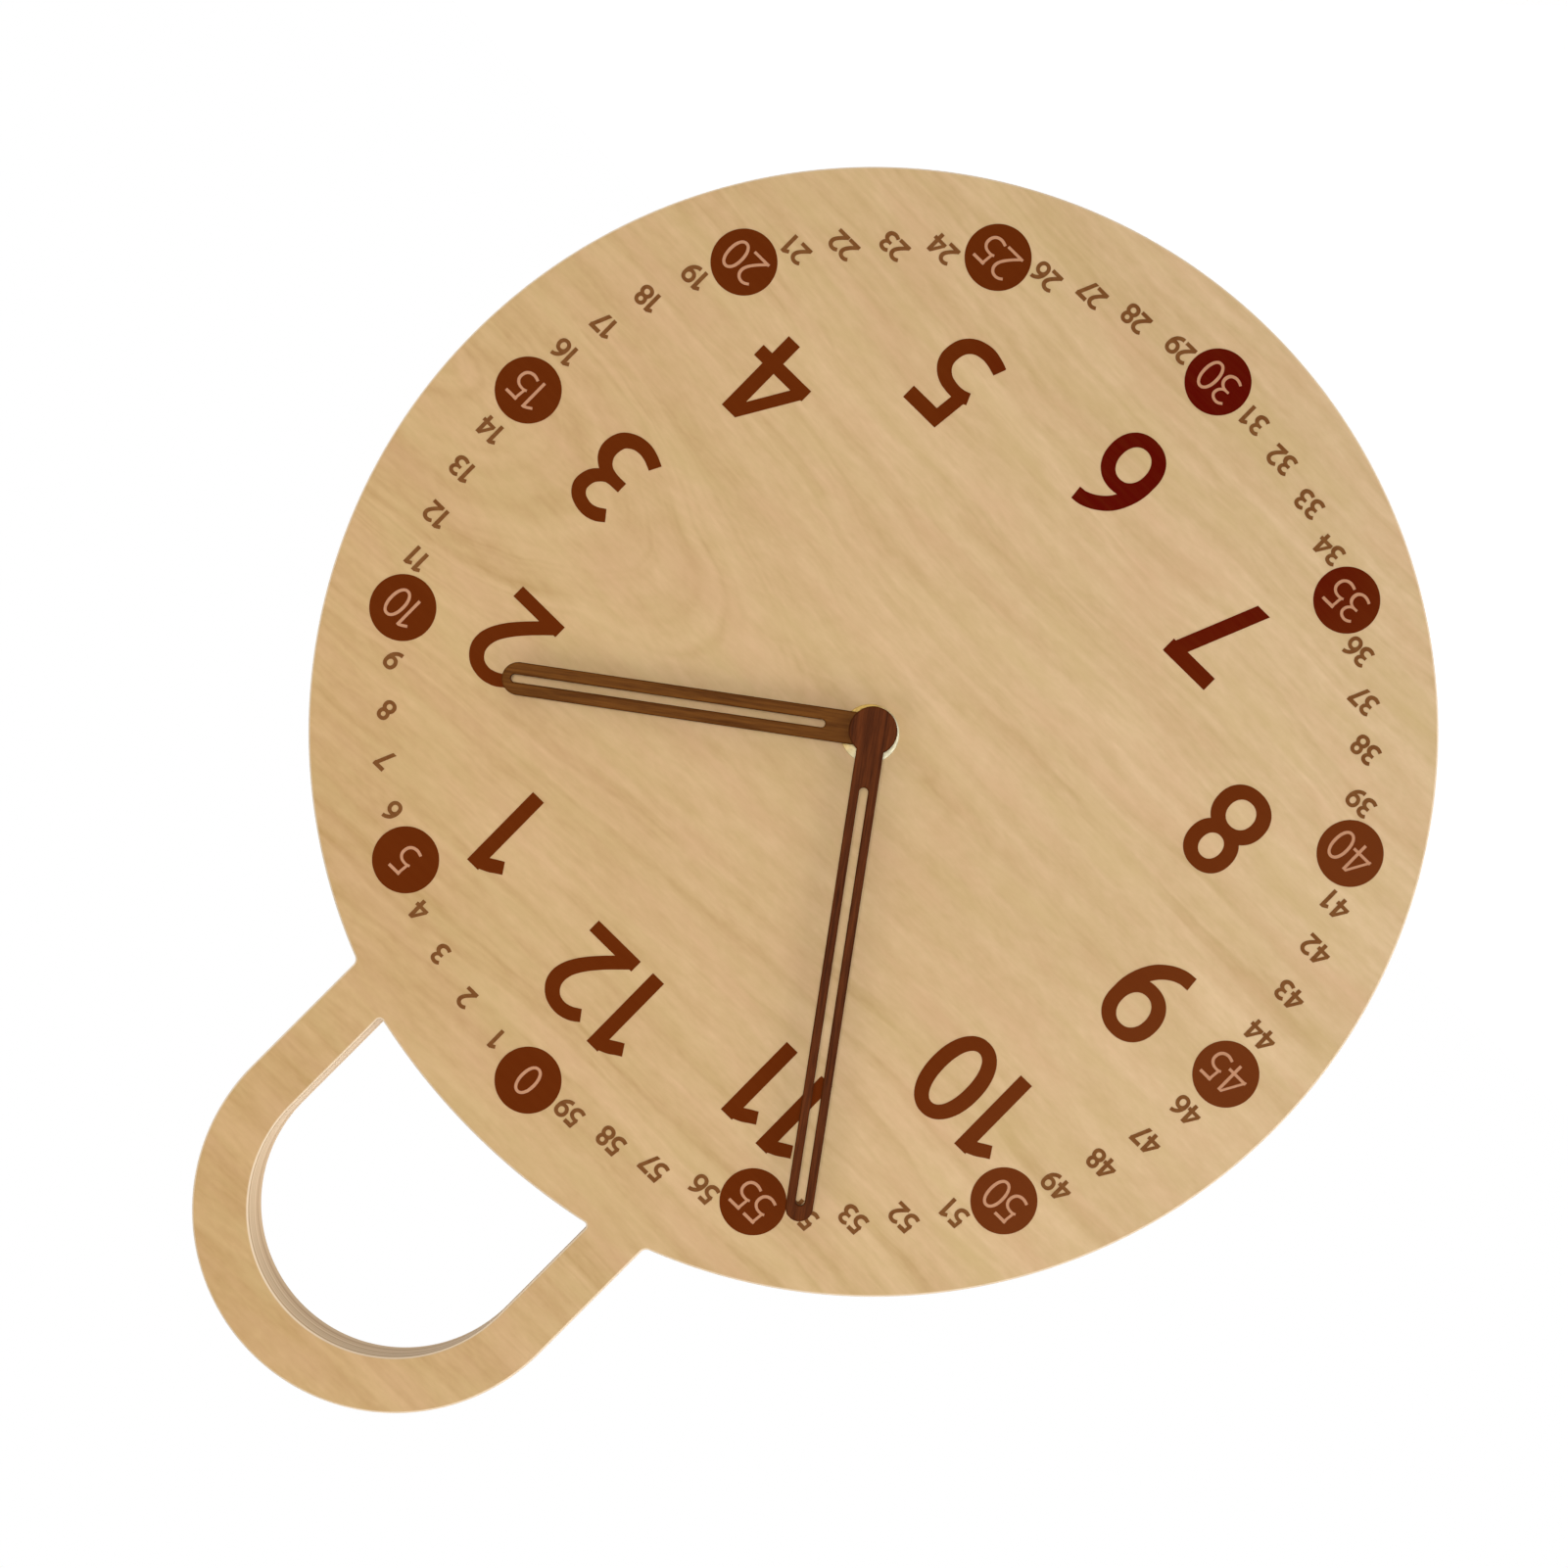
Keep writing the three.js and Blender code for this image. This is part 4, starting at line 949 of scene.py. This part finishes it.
def growth_place(tree, at, axes):
    """Place in the log: along it, round it, and out from its pith. Level far off, arched by the pith."""
    warp = ramped(tree, noise(tree, at, WARP_SIZE), 0, 1, -WARP, WARP)
    across = sums(tree, "ADD", sums(tree, "SUBTRACT", axes["Z"], PITH_HEIGHT), warp)
    away = sums(tree, "MAXIMUM", sums(tree, "SUBTRACT", axes["X"], PITH_MIDDLE), 0)
    depth = sums(tree, "MULTIPLY_ADD", sums(tree, "MULTIPLY", away, away), -PITH_BEND, PITH_DEPTH)
    reach = add_node(tree, "CombineXYZ", {"X": across, "Y": depth}).outputs[0]
    ring = add_node(tree, "VectorMath", {0: reach}, operation="LENGTH").outputs["Value"]
    round_it = sums(tree, "MULTIPLY", across, ROUND_SHARE)
    return add_node(tree, "CombineXYZ", {"X": axes["X"], "Y": round_it, "Z": ring}).outputs[0], ring


def growth_lines(tree, ring):
    """Thin darker lines between years, with a few set where the photo shows an arch's tip."""
    sockets = {"W": ring, "Scale": YEARS_PER_METRE, "Detail": 2.0, "Roughness": 0.6}
    growth = add_node(tree, "TexNoise", sockets, noise_dimensions="1D").outputs["Fac"]
    lines = ramped(tree, growth, *LINE_RAMP)
    for tip in ARCH_TIPS:
        away = sums(tree, "ABSOLUTE", sums(tree, "SUBTRACT", ring, growth_depth(tip)))
        lines = sums(tree, "MAXIMUM", lines, ramped(tree, away, ARCH_LINE, 0))
    return lines


def board_tone(tree, at, log, ring):
    """Tone from 0 for pale to 1 for dark, and the streaks in it."""
    worn = ramped(tree, noise(tree, at, LINE_WEAR_SIZE, detail=2), *SOFT_RAMP, LINE_WEAR_LEAST, 1)
    lines = sums(tree, "MULTIPLY", growth_lines(tree, ring), worn)
    tone = sums(tree, "MULTIPLY_ADD", lines, LINE_WEIGHT, TONE_OFFSET)
    patterns = {}
    for name, pattern in BOARD_PATTERNS.items():
        where = log if name in PATTERNS_IN_LOG else at
        patterns[name] = noise(tree, where, pattern["size"], pattern["detail"])
        tone = sums(tree, "MULTIPLY_ADD", patterns[name], pattern["weight"], tone)
    return tone, patterns["streaks"]


def board_material():
    """Flat-sawn pale veneer on ply: soft level bands, arches to the right, layers on the edge, and a painted
    highlight on the rounded edges.
    """
    material, tree, bsdf = shader("maple_board")
    at = object_place(tree)
    axes = axes_of(tree, at)
    log, ring = growth_place(tree, at, axes)
    tone, streaks = board_tone(tree, at, log, ring)
    shades = {name: colour(*levels) for name, levels in BOARD_COLOURS.items()}
    drift = ramped(tree, sums(tree, "ADD", axes["X"], axes["Z"]), *DRIFT_ENDS)
    pale = blended(tree, drift, shades["pale_low"], shades["pale_high"])
    dark = blended(tree, drift, shades["dark_low"], shades["dark_high"])
    face = blended(tree, tone, pale, dark)
    tint = noise(tree, at, TINT_SIZE, detail=3, roughness=0.6)
    face = blended(tree, ramped(tree, tint, *ROSY_RAMP), face, shades["rosy"])
    face = blended(tree, ramped(tree, tint, *OLIVE_RAMP), face, shades["olive"])
    layers = noise(tree, at, LAYER_SIZE, detail=1, roughness=0.5)
    edge = blended(tree, ramped(tree, layers, *SOFT_RAMP), shades["pale_layer"], shades["dark_layer"])
    forward = facing(tree)
    # The rim colour is a painted highlight on the rounded edges, between the layered edge and the face
    rim = blended(tree, ramped(tree, forward, *RIM_HIGHLIGHT_FACING), edge, shades["rim"])
    coloured(tree, bsdf, blended(tree, ramped(tree, forward, *FACE_FACING), rim, face))
    matt(bsdf, roughness=0.6, specular=0.12)
    bumped(tree, bsdf, sums(tree, "MULTIPLY", streaks, ramped(tree, forward, *BUMP_FACING)), BOARD_BUMP)
    return material


def walnut_material(name, light, dark):
    """Dark wood with its grain along the hand, darker on its sides and rounded edges."""
    material, tree, bsdf = shader(name)
    at = object_place(tree)
    streaks = noise(tree, at, WALNUT_STREAK_SIZE, detail=4, roughness=0.62, distortion=0.4)
    pores = noise(tree, at, WALNUT_PORE_SIZE, detail=2, roughness=0.5)
    tone = sums(tree, "MULTIPLY_ADD", streaks, WALNUT_STREAK_SHARE,
                sums(tree, "MULTIPLY", pores, WALNUT_PORE_SHARE))
    wood = blended(tree, ramped(tree, tone, *WALNUT_RAMP), colour(*dark), colour(*light))
    flat = ramped(tree, facing(tree), *WALNUT_FACING)
    coloured(tree, bsdf, blended(tree, flat, colour(*WALNUT_EDGE), wood))
    matt(bsdf, roughness=0.5, specular=0.03)
    bumped(tree, bsdf, tone, WALNUT_BUMP)
    return material


def ink_material():
    """Dark red-brown ink, redder round the 6 and browner to the left."""
    material, tree, bsdf = shader("dial_ink")
    at = object_place(tree)
    shades = {name: colour(*levels) for name, levels in INK_COLOURS.items()}
    away = add_node(tree, "VectorMath", {0: at, 1: RED_MIDDLE}, operation="SUBTRACT").outputs[0]
    flat = add_node(tree, "VectorMath", {0: away, 1: (1, 0, 1)}, operation="MULTIPLY").outputs[0]
    radius = add_node(tree, "VectorMath", {0: flat}, operation="LENGTH").outputs["Value"]
    soaked = noise(tree, at, INK_SOAK_SIZE, detail=4, roughness=0.6)
    leftward = ramped(tree, axes_of(tree, at)["X"], *LEFT_REACH)
    brown = blended(tree, leftward, shades["brown"], shades["left_brown"])
    ink = blended(tree, ramped(tree, radius, *RED_REACH), shades["red"], brown)
    coloured(tree, bsdf, blended(tree, ramped(tree, soaked, *INK_WEAR_RAMP), ink, shades["worn"]))
    matt(bsdf, roughness=0.7, specular=0.02)
    bumped(tree, bsdf, soaked, INK_BUMP)
    return material


def light_ink_material(name):
    """Thin ink that the wood's own tone shows through."""
    material, tree, bsdf = shader(name)
    soaked = noise(tree, object_place(tree), LIGHT_SOAK_SIZE, detail=3, roughness=0.6)
    thin, thick = LIGHT_INKS[name]
    coloured(tree, bsdf, blended(tree, ramped(tree, soaked, *WIDE_RAMP), colour(*thin), colour(*thick)))
    matt(bsdf, roughness=0.7, specular=0.05)
    bumped(tree, bsdf, soaked, INK_BUMP)
    return material


def metal_material(name, light, dark, roughness, grain):
    """Bright metal with fine turned or drawn marks."""
    material, tree, bsdf = shader(name)
    at = object_place(tree)
    marks = noise(tree, at, grain, detail=3, roughness=0.6)
    cloud = noise(tree, at, METAL_CLOUD_SIZE, detail=2, roughness=0.5)
    coloured(tree, bsdf, blended(tree, ramped(tree, cloud, *SOFT_RAMP), colour(*light), colour(*dark)))
    least, most = METAL_DULLNESS
    dulled(tree, bsdf, ramped(tree, marks, *WIDE_RAMP, roughness * least, roughness * most))
    bsdf.inputs["Metallic"].default_value = 1
    bumped(tree, bsdf, marks, METAL_BUMP)
    return material


def washer_material():
    """Plated brass, with a painted highlight on its left and its yellow darkened by painted shade on its
    right.
    """
    material, tree, bsdf = shader("washer_brass")
    at = object_place(tree)
    turned = noise(tree, at, WASHER_GRAIN_SIZE, detail=3, roughness=0.6)
    # Painted highlight on the left, fading to painted shade on the right
    highlight_to_shade = ramped(tree, axes_of(tree, at)["X"], -WASHER_RADIUS / 2, WASHER_RADIUS / 2)
    coloured(tree, bsdf, blended(tree, highlight_to_shade, colour(*WASHER_PAINTED_HIGHLIGHT), colour(*WASHER_YELLOW_IN_PAINTED_SHADE)))
    dulled(tree, bsdf, ramped(tree, turned, *WIDE_RAMP, *WASHER_ROUGHNESS))
    bsdf.inputs["Metallic"].default_value = 1
    bumped(tree, bsdf, turned, METAL_BUMP)
    return material


def moulded_material(name, light, dark, roughness, depth):
    """Moulded plastic or rubber with a fine spark-eroded texture."""
    material, tree, bsdf = shader(name)
    at = object_place(tree)
    texture = noise(tree, at, MOULDING_GRAIN_SIZE, detail=3, roughness=0.6)
    cloud = noise(tree, at, MOULDING_CLOUD_SIZE, detail=2, roughness=0.5)
    coloured(tree, bsdf, blended(tree, ramped(tree, cloud, *SOFT_RAMP), colour(*light), colour(*dark)))
    spread = [roughness + change for change in MOULDING_SPREAD]
    dulled(tree, bsdf, ramped(tree, texture, *WIDE_RAMP, *spread))
    bumped(tree, bsdf, texture, depth)
    return material


def circuit_material():
    """Green solder mask with fine tracks under it."""
    material, tree, bsdf = shader("circuit_mask")
    tracks = ramped(tree, noise(tree, object_place(tree), TRACK_SIZE, detail=1, roughness=0.4), *TRACK_RAMP)
    coloured(tree, bsdf, blended(tree, tracks, colour(*MASK_COLOUR), colour(*TRACK_COLOUR)))
    bsdf.inputs["Roughness"].default_value = 0.4
    bumped(tree, bsdf, tracks, TRACK_HEIGHT)
    return material


def cell_material():
    """A cell's plain coated sleeve, with a brass-coloured band at its positive end."""
    material, tree, bsdf = shader("cell_sleeve")
    at = object_place(tree)
    along = axes_of(tree, at)["X"]
    brushed = noise(tree, at, CELL_GRAIN_SIZE, detail=3, roughness=0.6)
    low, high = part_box("battery")[0].x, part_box("battery")[1].x
    band = ramped(tree, along, *[low + share * (high - low) for share in BAND_SHARES])
    sleeve = blended(tree, ramped(tree, brushed, *WIDE_RAMP), *[colour(*levels) for levels in SLEEVE_COLOURS])
    brass = blended(tree, brushed, *[colour(*levels) for levels in BAND_COLOURS])
    end = ramped(tree, along, *[high - depth for depth in CELL_END_DEPTHS])
    side = blended(tree, band, brass, sleeve)
    coloured(tree, bsdf, blended(tree, end, side, colour(*CELL_END_COLOUR)))
    dulled(tree, bsdf, ramped(tree, brushed, *WIDE_RAMP, *CELL_ROUGHNESS))
    bsdf.inputs["Metallic"].default_value = CELL_METAL_SHARE
    return material


def slot_materials():
    """The finish of each slot of the record."""
    finishes = {
        "maple": board_material(),
        "walnut": walnut_material("walnut_minute_hand", *WALNUTS["minute_hand"]),
        "circuit": circuit_material(),
        "battery": cell_material(),
    }
    finishes.update({slot: metal_material(**metal) for slot, metal in METALS.items()})
    finishes.update({slot: moulded_material(**moulding) for slot, moulding in MOULDINGS.items()})
    return finishes


def dress_frame(materials):
    """Every CAD node takes its slot's finish."""
    for name, node in frame["nodes"].items():
        node.data.materials.clear()
        node.data.materials.append(materials[SLOTS[name]])


# Camera, lights and surroundings
def make_camera():
    """The photo's camera: square on to the dial, rolled, a little aside, and shifted back to the framing."""
    data = bpy.data.cameras.new("camera")
    data.sensor_width = SENSOR_MM
    data.lens = FACE_RADIUS_PX / FACE_RADIUS * CAMERA_DISTANCE / IMAGE_SIZE * SENSOR_MM
    camera = added("camera", data)
    roll = math.radians(CAMERA_ROLL)
    right = Vector((math.cos(roll), 0, math.sin(roll)))
    up = Vector((-math.sin(roll), 0, math.cos(roll)))
    aside, above = CAMERA_ASIDE
    at = Vector((aside, FACE_FRONT - CAMERA_DISTANCE, DIAL.z + above))
    image_centre = Vector((IMAGE_SIZE, IMAGE_SIZE)) / 2
    dial_off = (FACE_CENTRE_PX - image_centre) * (FACE_RADIUS / FACE_RADIUS_PX)
    view_width = IMAGE_SIZE * FACE_RADIUS / FACE_RADIUS_PX
    data.shift_x = (right.dot(DIAL - at) - dial_off.x) / view_width
    data.shift_y = (up.dot(DIAL - at) + dial_off.y) / view_width
    turn = Matrix((right, up, (0, -1, 0))).transposed().to_4x4()
    camera.matrix_world = Matrix.Translation(at) @ turn
    bpy.context.scene.camera = camera


def make_light(name, towards, strength, softness, shadow=True):
    """A sun from one side. The one from under the floor has no shadow, so that the floor lets it through."""
    data = bpy.data.lights.new(name, "SUN")
    data.energy = strength
    data.angle = math.radians(softness)
    data.use_shadow = shadow
    added(name, data).rotation_euler = Vector(towards).to_track_quat("Z", "Y").to_euler()


def seen_directly(tree):
    """1 for rays from the camera, from gloss and through glass, otherwise 0."""
    rays = add_node(tree, "LightPath", {}).outputs
    glossy = sums(tree, "MAXIMUM", rays["Is Camera Ray"], rays["Is Glossy Ray"])
    return sums(tree, "MAXIMUM", glossy, rays["Is Transmission Ray"])


def make_sky():
    """White where it is seen, and soft light elsewhere."""
    world = bpy.data.worlds.new("studio")
    bpy.context.scene.world = world
    world.use_nodes = True
    tree = world.node_tree
    background = tree.nodes["Background"]
    background.inputs["Color"].default_value = WHITE
    strength = ramped(tree, seen_directly(tree), 0, 1, SKY_STRENGTH, 1)
    tree.links.new(strength, background.inputs["Strength"])


def make_floor():
    """A pale floor that looks white where it is seen, but for the clock's shadow."""
    mesh = bmesh.new()
    level = cad_box[0].z - FLOOR_DROP
    corners = box_outline(-FLOOR_HALF, -FLOOR_HALF, FLOOR_HALF, FLOOR_HALF)
    mesh.faces.new([mesh.verts.new((corner.x, corner.y, level)) for corner in corners])
    floor = added("floor", mesh_data(mesh, "floor"))
    material, tree, bsdf = shader("floor")
    bsdf.inputs["Base Color"].default_value = FLOOR_COLOUR
    matt(bsdf, roughness=1, specular=0)
    bsdf.inputs["Emission Color"].default_value = WHITE
    glow = ramped(tree, seen_directly(tree), 0, 1, 0, FLOOR_GLOW)
    tree.links.new(glow, bsdf.inputs["Emission Strength"])
    floor.data.materials.append(material)


bpy.context.scene.view_settings.view_transform = "Standard"
make_camera()
for light_name, light_settings in LIGHTS.items():
    make_light(light_name, **light_settings)
make_sky()
make_floor()

materials = slot_materials()
dress_frame(materials)
make_board(materials["maple"])
hand_woods = {
    "hour_hand": walnut_material("walnut_hour_hand", *WALNUTS["hour_hand"]),
    "minute_hand": materials["walnut"],
}
for hand_node, hand in HANDS.items():
    make_hand(hand_node, material=hand_woods[hand_node], **hand)
make_washer(washer_material())
for softened_node, (carrier, edge_rounding) in SOFTENED.items():
    make_softened(softened_node, carrier, edge_rounding, materials[SLOTS[softened_node]])
ink = ink_material()
make_hour_numerals(ink)
make_minute_discs(ink)
make_minute_numerals(light_ink_material("minute_ink"))
make_disc_numerals(light_ink_material("disc_digit_ink"))
